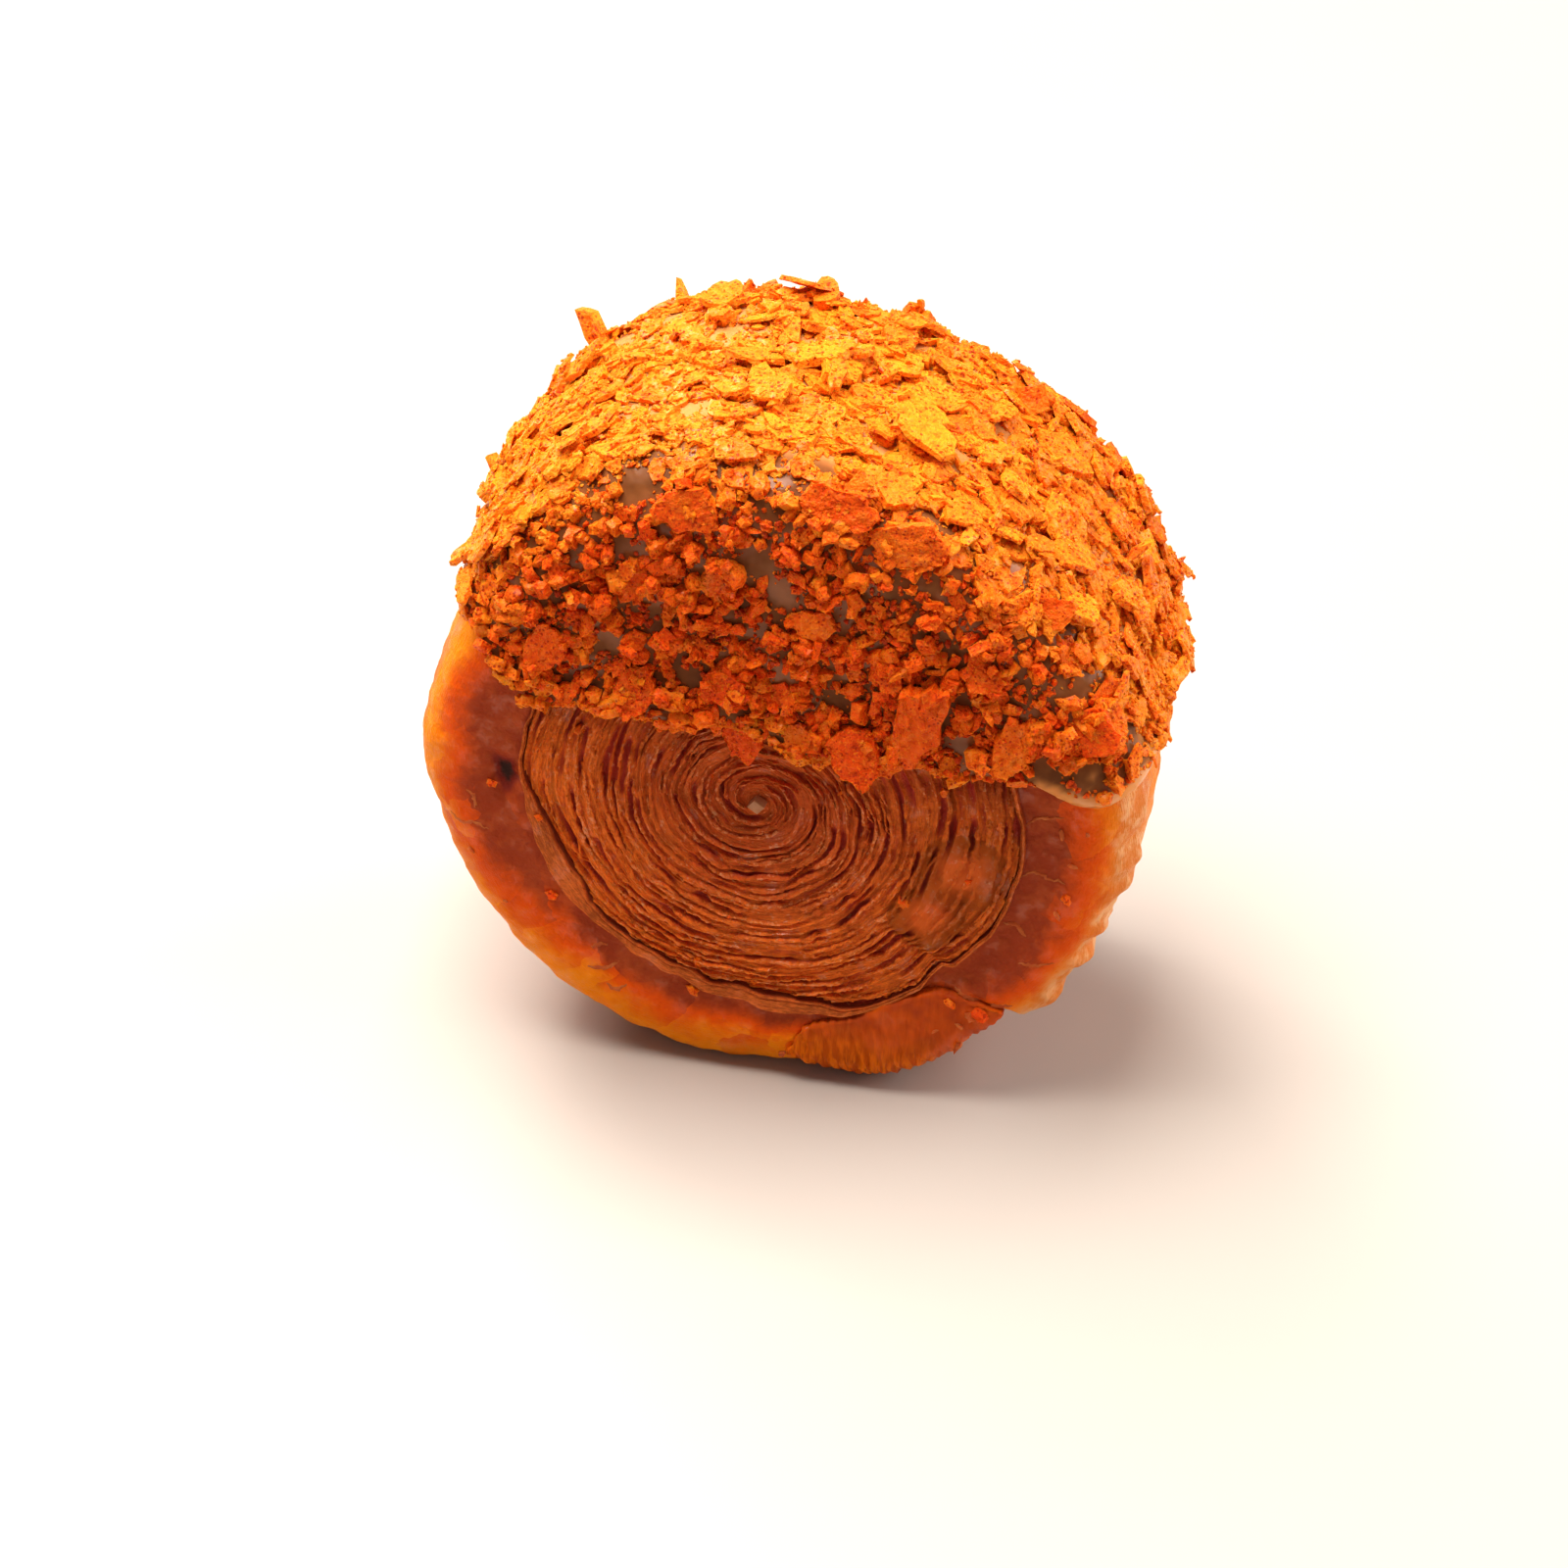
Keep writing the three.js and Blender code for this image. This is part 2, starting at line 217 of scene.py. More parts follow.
class CoatSettings(bpy.types.PropertyGroup):
    """Sizes and colours of the glaze and the wafer flakes."""

    glaze_thickness: size_setting("Glaze thickness", "How far the glaze stands over the dough", 0.0019)
    dip_height: size_setting("Dip height", "Height of the dip line over the axis", 0.0092)
    dip_slope: FloatProperty(
        name="Dip slope", description="Rise of the dip line along X", default=-0.07, min=-1, max=1,
        subtype="FACTOR",
    )
    left_rise: size_setting("Left rise", "How much higher the dip line ends on the left", 0.009)
    plate_count: count_setting("Plates", "Number of large wafer plates", 620)
    chunk_count: count_setting("Chunks", "Number of thick wafer chunks on the faces", 900)
    shard_count: count_setting("Shards", "Number of middle-sized wafer shards", 2400)
    grain_count: count_setting("Grains", "Number of small wafer grains", 8000)
    crumb_count: count_setting("Crumbs", "Number of tiny wafer crumbs on the flakes", 9000)
    seed: count_setting("Seed", "Seed of the flakes' places", 7)
    # Caramel glaze, kept dark as painted shade where it shows between the flakes
    glaze_and_shade_colour: colour_setting("Glaze colour", "Caramel glaze", (0.29, 0.09, 0.024))
    # Thick glaze, and also painted light on the glaze over the rim
    pool_and_rim_light_colour: colour_setting("Pool colour", "Glaze where it stands thick", (0.72, 0.26, 0.07))
    wafer_colour: colour_setting("Wafer colour", "Wafer flakes", (0.76, 0.062, 0.002))
    pale_wafer_colour: colour_setting("Pale wafer colour", "Palest wafer flakes", (0.97, 0.3, 0.01))
    # Painted shade in the wafer's pinholes
    pit_shade_colour: colour_setting("Pit colour", "Pits in the wafer", (0.42, 0.026, 0.001))
    # Wafer soaked with glaze, dark also as painted shade between the crumbs on the faces
    soaked_shade_colour: colour_setting("Soaked colour", "Wafer soaked with glaze", (0.42, 0.04, 0.009))


class StageSettings(bpy.types.PropertyGroup):
    """Camera, light and floor."""

    azimuth: angle_setting("Azimuth", "Camera's turn to the right of the front face", 9)
    elevation: angle_setting("Elevation", "Camera's height over level", 34)
    roll: angle_setting("Roll", "Camera's tilt about its own axis", 2.2)
    distance: size_setting("Distance", "Camera's distance from the roll's centre", 0.8)
    lens: FloatProperty(name="Lens", description="Focal length in millimetres", default=130.93)
    sensor: FloatProperty(name="Sensor", description="Width of the sensor in millimetres", default=36)
    aim_right: size_setting("Aim right", "Aim point's offset to the picture's right", -0.00275)
    aim_up: size_setting("Aim up", "Aim point's offset to the picture's top", -0.0132)
    key_power: power_setting("Key power", "Power of the key light in watts", 29)
    fill_power: power_setting("Fill power", "Power of the front fill in watts", 0.8)
    side_power: power_setting("Side power", "Power of the light on the right in watts", 16)
    back_power: power_setting("Back power", "Power of the light behind the roll in watts", 10)
    floor_colour: colour_setting("Floor colour", "Plain pale floor", (0.5, 0.445, 0.4))


class Wire:
    """A shader socket that takes part in Python arithmetic; each step adds a Math node to its tree."""

    def __init__(self, tree, socket=None):
        self.tree = tree
        self.socket = socket

    def node(self, kind, settings=None, inputs=None, output=0):
        """Adds a node with its settings made first, then its sockets filled, and gives one output."""
        node = self.tree.nodes.new(kind)
        for name, value in (settings or {}).items():
            setattr(node, name, value)
        for name, value in (inputs or {}).items():
            if isinstance(value, Wire):
                self.tree.links.new(value.socket, node.inputs[name])
            else:
                node.inputs[name].default_value = value
        return Wire(self.tree, node.outputs[output] if node.outputs else None)

    def other(self, output):
        """Another output of the same node."""
        return Wire(self.tree, self.socket.node.outputs[output])

    def math(self, operation, *values):
        return self.node("ShaderNodeMath", {"operation": operation}, dict(enumerate(values)))

    def __add__(self, other):
        return self.math("ADD", self, other)

    def __radd__(self, other):
        return self.math("ADD", other, self)

    def __sub__(self, other):
        return self.math("SUBTRACT", self, other)

    def __rsub__(self, other):
        return self.math("SUBTRACT", other, self)

    def __mul__(self, other):
        return self.math("MULTIPLY", self, other)

    def __rmul__(self, other):
        return self.math("MULTIPLY", other, self)

    def ramp(self, low, high):
        """0 below low, 1 above high, and a smooth rise between them."""
        limits = {"Value": self, "From Min": low, "From Max": high}
        return self.node("ShaderNodeMapRange", {"interpolation_type": "SMOOTHSTEP"}, limits)

    def blend(self, first, second):
        """The first colour at 0, the second at 1."""
        return self.node("ShaderNodeMix", {"data_type": "RGBA"}, {0: self, 6: first, 7: second}, 2)

    def noise(self, scale, detail=2.0, roughness=0.5):
        """Noise from 0 to 1 over this place."""
        inputs = {"Vector": self, "Scale": scale, "Detail": detail, "Roughness": roughness}
        return self.node("ShaderNodeTexNoise", None, inputs)

    def split(self):
        """The first part of this vector; other gives the second and the third."""
        return self.node("ShaderNodeSeparateXYZ", None, {0: self})

    def attribute(self, name, output):
        """What the mesh keeps at its points under a name."""
        return self.node("ShaderNodeAttribute", {"attribute_name": name}, None, output)

    def object_place(self):
        """Places on the surface, in the frame that all pieces share."""
        return self.node("ShaderNodeTexCoord", None, None, "Object")


def opaque(colour, tint=1):
    """A socket's value for a colour, made darker or lighter by one factor or by one for each channel."""
    return (*(np.array(colour) * tint), 1)


def new_material(name):
    """A material with an empty tree, as a wire to start from."""
    material = bpy.data.materials.new(name)
    material.use_nodes = True
    material.node_tree.nodes.clear()
    return material, Wire(material.node_tree)


def finish_material(start, inputs):
    """Ends a material in a Principled shader with these socket values."""
    shader = start.node("ShaderNodeBsdfPrincipled", None, inputs)
    start.node("ShaderNodeOutputMaterial", None, {"Surface": shader})


def bump(start, height, distance, strength):
    inputs = {"Height": height, "Distance": distance, "Strength": strength}
    return start.node("ShaderNodeBump", None, inputs, "Normal")


class Ripple:
    """Smooth random waves from -1 to 1 along a number of lanes."""

    def __init__(self, random, lanes, knots):
        self.table = random.uniform(-1, 1, (lanes, knots))

    def __call__(self, lane, position):
        lanes, knots = self.table.shape
        left = np.floor(position).astype(int)
        ease = smooth(position - left)
        lane = lane % lanes
        return (1 - ease) * self.table[lane, left % knots] + ease * self.table[lane, (left + 1) % knots]


def smooth(value):
    """Eases 0 to 1, and holds beyond."""
    value = np.clip(value, 0, 1)
    return value * value * (3 - 2 * value)


def between(low, high, value):
    return smooth((value - low) / (high - low))


def deselect():
    """Leaves edit mode and lets everything go."""
    if bpy.context.object and bpy.context.object.mode != "OBJECT":
        bpy.ops.object.mode_set(mode="OBJECT")
    bpy.ops.object.select_all(action="DESELECT")


def edit_all():
    """Goes into edit mode with everything selected."""
    bpy.ops.object.mode_set(mode="EDIT")
    bpy.ops.mesh.select_all(action="SELECT")


def face_outwards():
    """Turns every face outwards, and leaves edit mode."""
    bpy.ops.mesh.select_all(action="SELECT")
    bpy.ops.mesh.normals_make_consistent(inside=False)
    bpy.ops.object.mode_set(mode="OBJECT")


def read_points(mesh, field="co"):
    """The place of each point, or another vector that it has."""
    points = np.empty(len(mesh.vertices) * 3)
    mesh.vertices.foreach_get(field, points)
    return points.reshape(-1, 3)


def write_points(mesh, points):
    mesh.vertices.foreach_set("co", np.ascontiguousarray(points, dtype=np.float32).ravel())
    mesh.update()


def surface_tree(mesh):
    """The mesh's faces, ready to be hit by rays."""
    return BVHTree.FromPolygons(read_points(mesh).tolist(), [list(face.vertices) for face in mesh.polygons])


def piece_trees(*names):
    """The faces of finished pieces, each ready to be hit by rays."""
    return [surface_tree(bpy.data.objects[name].data) for name in names]


def first_hit(trees, start, way, reach=1.0):
    """Place, way out, face and distance where a ray first meets one of the trees, or None."""
    hits = [tree.ray_cast(start, way, reach) for tree in trees]
    return min((hit for hit in hits if hit[0] is not None), key=lambda hit: hit[3], default=None)


def grid(columns, rows):
    """A flat grid to bend into a skin, with the column and row of each of its points."""
    deselect()
    bpy.ops.mesh.primitive_grid_add(x_subdivisions=columns, y_subdivisions=rows - 1, size=1)
    piece = bpy.context.object
    share = read_points(piece.data)[:, :2] + 0.5
    column, row = np.rint(share * (columns, rows - 1)).astype(int).T
    return piece, column, row


def joined(points, faces):
    """A new selected piece from arrays of points and the faces over all of them."""
    mesh = bpy.data.meshes.new("piece")
    mesh.from_pydata(np.concatenate(points).tolist(), [], faces)
    piece = bpy.data.objects.new("piece", mesh)
    bpy.context.scene.collection.objects.link(piece)
    deselect()
    piece.select_set(True)
    bpy.context.view_layer.objects.active = piece
    return piece


def give_attribute(mesh, name, kind, values):
    """Stores a value at each point, for the material to read."""
    attribute = mesh.attributes.get(name) or mesh.attributes.new(name, kind, "POINT")
    field = "vector" if kind == "FLOAT_VECTOR" else "value"
    attribute.data.foreach_set(field, np.ascontiguousarray(values, dtype=np.float32).ravel())


def read_vectors(mesh, name):
    """The vectors that a mesh keeps at its points under a name."""
    values = np.empty(len(mesh.vertices) * 3, np.float32)
    mesh.attributes[name].data.foreach_get("vector", values)
    return values.reshape(-1, 3)


def give_weights(piece, name, shares):
    """Puts each point into a vertex group by its share, from 0 to 1 in steps of a hundredth."""
    group = piece.vertex_groups.new(name=name)
    shares = np.round(shares, 2)
    for level in np.unique(shares):
        if level > 0:
            group.add(np.nonzero(shares == level)[0].tolist(), float(level), "REPLACE")


def dress(piece, material):
    piece.data.materials.clear()
    piece.data.materials.append(material)


def settle(piece, name, material, slot, *nodes):
    """Names a finished piece, gives it its material and hands it to the frame."""
    piece.name = name
    piece.data.name = name
    dress(piece, material)
    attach(piece, BODY)
    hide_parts(*nodes)


def apply_displacement(piece, name, size, strength, group=""):
    """Pushes the surface in and out by a cloud-like pattern, and keeps the result."""
    texture = bpy.data.textures.new(name, "CLOUDS")
    texture.noise_scale = size
    modifier = piece.modifiers.new(name, "DISPLACE")
    modifier.texture = texture
    modifier.texture_coords = "LOCAL"
    modifier.strength = strength
    modifier.mid_level = 0.5
    modifier.vertex_group = group
    bpy.ops.object.modifier_apply(modifier=name)


class Outline:
    """Rim radius of the solid roll by angle, measured with rays from its axis."""

    def __init__(self, roll, rays=720):
        solid = surface_tree(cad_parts[ROLL_NODE].data)
        axis = Vector((0, 0, roll.axis_height))
        self.radius = roll.radius
        self.angles = np.linspace(0, 2 * np.pi, rays, endpoint=False)
        reach = []
        for angle in self.angles:
            place = solid.ray_cast(axis, Vector((math.cos(angle), 0, math.sin(angle))))[0]
            if place is None:
                raise RuntimeError("the solid roll has a hole in its rim")
            reach.append((place - axis).length)
        self.reach = np.array(reach)
        self.sound = self.reach > 0.95 * np.median(self.reach)

    def stretch(self, angle, radius):
        """How far a point at this angle and radius is stretched: fully at the rim, hardly at the middle."""
        reach = np.interp(angle, self.angles[self.sound], self.reach[self.sound], period=2 * np.pi)
        return 1 + (reach / self.radius - 1) * (radius / self.radius) ** 2


def clock_angle(turns):
    """Angle of a place that lies some turns clockwise from the top of the front face."""
    return np.pi / 2 - 2 * np.pi * turns


def bowl(radius, edge):
    """Depth of the layers' mean surface under the face: a low swelling with a hollow at its middle."""
    swelling = 0.6 * MM - 1.2 * MM * np.sin(np.pi * np.clip(radius / edge, 0, 1) ** 1.3)
    return swelling + 1.6 * MM * np.exp(-((radius / (9 * MM)) ** 2))


def on_face(roll, outline, angle, radius):
    """X and height of a place on a face, after the winding's sway and the rim's uneven stretch."""
    loose = between(2 * MM, 12 * MM, radius) * between(48 * MM, 36 * MM, radius)
    sway = 0.45 * np.sin(2 * angle + 210 * radius) + 0.2 * np.sin(5 * angle - 330 * radius + 2)
    radius = radius + MM * loose * (sway + 0.12 * np.sin(9 * angle + 500 * radius))
    stretched = radius * outline.stretch(angle, radius)
    middle = np.clip(1 - (radius / roll.lip_radius) ** 2, 0, 1)
    x = stretched * np.cos(angle) - 2.0 * MM * middle
    z = roll.axis_height + stretched * np.sin(angle) - 3.1 * MM * middle
    return x, z


def filled(roll, x, z):
    """How far dried glaze fills the gaps between the layers at a place on a face, from 0 to 1."""
    height = z - roll.axis_height
    apart = [np.hypot(x - MM * a, height - MM * b) / (MM * reach) for a, b, reach in FILLED_SPOTS]
    return between(1.0, 0.4, np.min(apart, axis=0))


class Coil:
    """One half of the wound dough, from the middle of a face to the middle of the rim.

    Rows run outwards, columns run clockwise round the front face. Depths are measured inwards from the face.
    """

    def __init__(self, roll, columns, layer_rows, random):
        self.roll = roll
        self.columns = columns
        self.layer_rows = layer_rows
        self.random = random
        self.angle = clock_angle(columns)
        oval = 1.5 * MM * np.cos(2 * (self.angle + math.radians(70)))
        degrees = np.degrees(self.angle) % 360
        self.lap = between(178, 212, degrees) * between(298, 262, degrees)
        width = (0.5 + 2.2 * self.lap) * (1 + 0.3 * self.around(19) + 0.25 * self.around(60))
        self.lip_width = MM * np.maximum(width, 0.35)
        ragged = 0.5 * MM * self.around(13) + 0.25 * MM * self.around(80)
        self.gap_edge = roll.lip_radius + oval + ragged - self.lip_width
        self.slow = Ripple(random, roll.layers_per_turn, WINDING_KNOTS)
        self.quick = Ripple(random, roll.layers_per_turn, WINDING_KNOTS)
        self.rows = []
        self.layers()
        self.crust()
        stacked = [np.stack(parts) for parts in zip(*self.rows)]
        self.radius, self.depth, self.gap, self.edge, self.baked, self.along, self.across = stacked

    def around(self, waves):
        """Random waves round the roll."""
        return Ripple(self.random, 1, waves)(np.zeros(len(self.columns), int), waves * self.columns)

    def add_row(self, radius, depth, gap, edge, baked, along, across):
        """Adds one ring of points with what the material reads there."""
        shape = np.ones(len(self.columns))
        self.rows.append([shape * value for value in (radius, depth, gap, edge, baked, along, across)])

    def wander(self, arm, travel):
        """How far the border of a layer strays from its place, in layers."""
        slow = self.slow(arm, travel / (8 * MM) + WINDING_START)
        quick = self.quick(arm, travel / (2.6 * MM) + WINDING_START)
        return 0.26 * slow + 0.12 * quick

    def layers(self):
        """The wound layers, which all start at the middle and end under the lip."""
        roll = self.roll
        per_turn = roll.layers_per_turn
        outline = Outline(roll)
        last = int(np.ceil(roll.lip_radius * PAST_LIP / roll.layer_pitch))
        index = np.arange(-per_turn, last + 2)
        arm = (index % per_turn)[:, None] * np.ones(len(self.columns), int)
        turns = (index // per_turn)[:, None] + self.columns
        travel = np.pi * per_turn * roll.layer_pitch * turns * np.abs(turns)

        def ripple(wavelength):
            return Ripple(self.random, per_turn, WINDING_KNOTS)(arm, travel / wavelength + WINDING_START)

        border = index[:, None] + per_turn * self.columns + self.wander(arm, travel)
        opening = between(-0.1, 0.8, 0.65 * ripple(9 * MM) + 0.6 * ripple(2.8 * MM) + 0.3 * (arm == 0))
        crest = MM * (0.3 * ripple(12 * MM) + 0.22 * ripple(3.2 * MM) + 0.18 * ripple(1.1 * MM))
        shift = 0.08 * ripple(1.5 * MM) + 0.2 * ripple(6 * MM)
        bright = between(0.2, 1.0, ripple(3.5 * MM) + 0.5 * ripple(10 * MM))
        for row in range(len(index) - 1):
            for share in self.layer_rows:
                ridge = (1 - abs(2 * share - 1)) ** 2.2
                across = share + shift[row] * ridge
                place = border[row] + across * (border[row + 1] - border[row])
                radius = roll.layer_pitch * np.maximum(place, 0)
                fade = between(0.8 * MM, 3.5 * MM, radius)
                fade *= 1 - 0.65 * filled(roll, *on_face(roll, outline, self.angle, radius))
                hollow = bowl(radius, self.gap_edge) + 0.2 * MM
                near = opening[row] if share < 0.5 else opening[row + 1]
                groove = 0.2 * MM + roll.gap_depth * near
                depth = hollow + fade * ((1 - ridge) * groove - ridge * crest[row])
                under = radius > self.gap_edge - 0.05 * MM
                # Painted shade darkens the grooves between the layers and the dough under the lip; the ridge
                # tops get painted highlights
                self.add_row(
                    np.where(under, self.gap_edge, radius),
                    np.where(under, 1.5 * MM, depth),
                    np.where(under, 0.8, (1 - ridge) * (0.35 + 0.65 * near) * fade),
                    np.where(under, 0.0, bright[row] * (ridge > 0.75)),
                    0.0,
                    travel[row],
                    place * roll.layer_pitch,
                )

    def crust(self):
        """The lip over the layers, the side of the outer turn, its rounded edge and half of the rim."""
        roll = self.roll
        around = 2 * np.pi * roll.radius * self.columns
        right = between(0.35, 0.85, np.cos(self.angle + math.radians(12)))
        # Towards the bottom the amber starts sooner, as painted bounce light from the floor
        bottom = between(0.45, 0.85, np.cos(self.angle + math.radians(104)))
        ruddy = 0.22 + 0.26 * bottom
        scallops = np.maximum(0.7 * self.around(31) + 0.4 * self.around(90) + 0.2, -0.8)
        width = self.lip_width + MM * self.lap * scallops
        lift = 0.25 * MM * self.around(40)
        # Rows of the lip: share of its width, depth in millimetres, painted gap shade and edge
        lip = (
            (0.0, 1.5, 0.8, 0.0),
            (0.05, 0.4, 0.4, 0.3),
            (0.13, 0.0, 0.0, 1.0),
            (0.32, 0.22, 0.3, 0.6),
            (0.45, 0.02, 0.0, 1.0),
            (0.7, 0.06, 0.0, 0.8),
            (0.94, 0.0, 0.0, 1.0),
            (1.0, 0.2, 0.2, 0.5),
        )
        for share, depth, gap, edge in lip:
            radius = self.gap_edge + share * width
            self.add_row(radius, depth * MM + (depth < 1) * lift, gap, edge, 0.01, around, radius)
        foot = self.gap_edge + width
        # The foot of the lip carries painted shade along its step
        self.add_row(foot + 0.12 * MM, 0.75 * MM + 0.3 * MM * right, 0.5, 0.0, 0.05, around, foot)
        start = roll.radius - roll.edge_round
        for step in np.linspace(0.1, 1, BAND_ROWS):
            radius = foot + 0.12 * MM + step * (start - foot)
            fold = 0.6 * MM * right * between(42 * MM, 40.8 * MM, radius + 0.7 * MM * self.around(9))
            baked = 0.06 + (ruddy - 0.06) * step**1.5
            self.add_row(radius, (0.8 - 0.65 * step**2) * MM + fold, 0.0, 0.0, baked, around, radius)
        ragged = 0.6 * self.around(50) + 0.8 * self.around(160)
        # Over the rounded edge the colour climbs to the rim's amber: partly the crust's own colour, partly a
        # painted glow of light through and onto the edge
        for turn in np.linspace(0, np.pi / 2, ROUND_ROWS + 1)[1:]:
            fringe = MM * right * between(0.6, 1.1, turn) * ragged
            radius = start + roll.edge_round * math.sin(turn) + fringe
            depth = roll.edge_round * (1 - math.cos(turn)) + 0.15 * MM * math.cos(turn)
            pale = right * between(0.5, 1.0, turn)
            baked = ruddy + (1 - ruddy) * turn / (np.pi / 2)
            self.add_row(radius, depth, 0.0, pale, baked, around, radius + depth)
        for step in np.linspace(0, 1, RIM_ROWS + 1)[1:]:
            depth = roll.edge_round + step * (roll.depth / 2 - roll.edge_round)
            swelling = 0.25 * MM * (1 - (1 - step) ** 2)
            radius = roll.radius + swelling + MM * right * ragged * between(0.25, 0, step)
            pale = right * between(0.7, 0, step)
            self.add_row(radius, depth, 0.0, pale, 1.0, around, roll.radius + depth)


def column_places(count):
    """Shares of a turn from the top of the roll clockwise, closer together where the coat leaves it bare."""
    fine = np.linspace(0, 1, 4001)
    bare = between(0.45, 0.25, np.sin(clock_angle(fine)))
    weight = HIDDEN_COLUMN_SHARE + (1 - HIDDEN_COLUMN_SHARE) * bare
    total = np.concatenate([[0], np.cumsum((weight[1:] + weight[:-1]) / 2)])
    return np.interp(np.linspace(0, 1, count + 1), total / total[-1], fine)


def flowing(points, shares):
    """Places along a smooth curve through the points, by share of the way."""
    points = np.array(points, float)
    steps = np.asarray(shares) * (len(points) - 1)
    index = np.clip(np.floor(steps).astype(int), 0, len(points) - 2)
    part = (steps - index)[:, None]
    padded = np.concatenate([[2 * points[0] - points[1]], points, [2 * points[-1] - points[-2]]])
    a, b, c, d = (padded[index + k] for k in range(4))
    return b + 0.5 * part * (c - a + part * (2 * a - 5 * b + 4 * c - d + part * (3 * (b - c) + d - a)))


def leaf_border(grow):
    """Closed border of the strip's end, its outer side pushed out by a factor."""
    shares = np.linspace(0, 1, 30)
    return MM * np.concatenate([flowing(LEAF_TOP, shares), grow * flowing(LEAF_BOTTOM, shares[::-1])])


def distance_inside(points, border):
    """How far each point of a plane lies inside a closed border; outside is negative."""
    start = border
    end = np.roll(border, -1, axis=0)
    along = end - start
    offset = points[:, None, :] - start
    share = np.clip((offset * along).sum(2) / np.maximum((along * along).sum(1), 1e-12), 0, 1)
    nearest = np.linalg.norm(offset - share[..., None] * along, axis=2).min(1)
    crosses = (start[:, 1] > points[:, 1:]) != (end[:, 1] > points[:, 1:])
    rise = np.where(along[:, 1] == 0, 1e-12, along[:, 1])
    left = points[:, :1] < start[:, 0] + along[:, 0] * (points[:, 1:] - start[:, 1]) / rise
    inside = (crosses & left).sum(1) % 2 == 1
    return np.where(inside, nearest, -nearest)


class BakedPatterns:
    """What the colours of layers and crust share: values kept in the mesh, and noises over places."""

    def __init__(self, start):
        self.gap = start.attribute("layers", "Vector").split()
        self.edge = self.gap.other(1)
        self.baked = self.gap.other(2)
        winding = start.attribute("winding", "Vector")
        self.outward = winding.split().other(1)
        self.smear = self.outward.other(2)
        self.place = start.object_place()
        along = start.node("ShaderNodeVectorMath", {"operation": "MULTIPLY"}, {0: winding, 1: (1, 5, 1)})
        self.streaks = along.noise(600, 3, 0.65)
        self.mottle = self.place.noise(130, 3, 0.55)
        self.blots = self.place.noise(330, 3, 0.6)
        self.specks = self.place.noise(1500, 2, 0.6)
        stirred = self.place.noise(260).other("Color")
        mixed = start.node("ShaderNodeMix", {"data_type": "VECTOR"}, {0: 0.004, 4: self.place, 5: stirred}, 1)
        cells = start.node("ShaderNodeTexVoronoi", None, {"Vector": mixed, "Scale": 130.0}, "Color")
        self.patch = cells.split()
        self.fringe = self.edge * self.baked.ramp(0.3, 0.5)


def layer_look(roll, coat, patterns):
    """Colour of the wound layers: darker inwards, with painted shade in the gaps and under the dip line, and
    painted highlights on the edges.
    """
    mottle, blots, specks, smear = patterns.mottle, patterns.blots, patterns.specks, patterns.smear
    inner, outer = opaque(roll.core_colour), opaque(roll.layer_colour)
    layer = (patterns.outward + 0.02 * (mottle - 0.5)).ramp(0.004, 0.03).blend(inner, outer)
    dark_layer = opaque(roll.core_colour, 0.5)
    layer = ((0.5 - 0.35 * smear) * patterns.streaks.ramp(0.58, 0.38)).blend(layer, dark_layer)
    layer = (0.4 * blots.ramp(0.5, 0.3)).blend(layer, dark_layer)
    # Painted highlights on the edges of the layers
    layer = (0.7 * patterns.edge * specks.ramp(0.45, 0.65)).blend(layer, opaque(roll.edge_highlight_colour))
    # Painted shade: the layers darken just under the dip line, as if shaded by the flake coat, and towards
    # the right, away from the light
    spot = patterns.place.split()
    over_line = spot.other(2) - coat.dip_slope * spot - (roll.axis_height + coat.dip_height)
    shade_under_coat = (over_line + 0.006 * (mottle - 0.5)).ramp(-0.008, 0.0)
    layer = (0.6 * shade_under_coat + 0.3 * spot.ramp(0.012, 0.03)).blend(layer, dark_layer)
    layer = (0.7 * smear * (0.4 + blots)).blend(layer, inner)
    # Painted shade in the gaps between the layers
    return (patterns.gap + 0.4 * (specks - 0.5)).ramp(0.25, 0.85).blend(layer, opaque(roll.gap_shade_colour))


def crust_look(roll, patterns):
    """Colour of the outer turn: dark band, red-brown side and amber rim, with the lip and a pale fringe."""
    mottle, blots, streaks, baked = patterns.mottle, patterns.blots, patterns.streaks, patterns.baked
    fringe = patterns.fringe
    patchy = 0.2 * (patterns.patch - 0.5)
    uneven = baked + 0.4 * (mottle - 0.5) + 0.25 * (blots - 0.5) + patchy
    milky = opaque(roll.band_colour, (1.35, 1.8, 1.6))
    side = (0.7 * (0.5 * blots + 0.5 * mottle).ramp(0.44, 0.6)).blend(opaque(roll.band_colour), milky)
    # The climb to red-brown and amber over the rounded edge is partly painted glow
    side = uneven.ramp(0.12, 0.4).blend(side, opaque(roll.crust_colour))
    side = uneven.ramp(0.36, 0.72).blend(side, opaque(roll.rim_colour))
    toasted = (0.5 * mottle + 0.3 * blots + 0.3 * streaks + patchy).ramp(0.5, 0.64) * baked.ramp(0.75, 1.0)
    side = (0.75 * toasted).blend(side, opaque(roll.rim_colour, (0.6, 0.42, 3)))
    pale_lip = (0.3 * mottle + 0.2 * blots + 0.5 * streaks).ramp(0.42, 0.6)
    lip = pale_lip.blend(opaque(roll.lip_colour, 0.5), opaque(roll.lip_colour))
    side = (patterns.edge * baked.ramp(0.04, 0.02)).blend(side, lip)
    side = (0.8 * fringe).blend(side, opaque(roll.crease_and_glint_colour, (0.7, 0.33, 0.14)))
    pale_fringe = 0.6 * fringe * (0.3 * streaks + 0.7 * blots).ramp(0.44, 0.6)
    side = pale_fringe.blend(side, opaque(roll.crease_and_glint_colour))
    # Painted shade along the gap lines, at the lip's foot and round the dent
    return patterns.gap.ramp(0.2, 0.9).blend(side, opaque(roll.gap_shade_colour, 0.45))


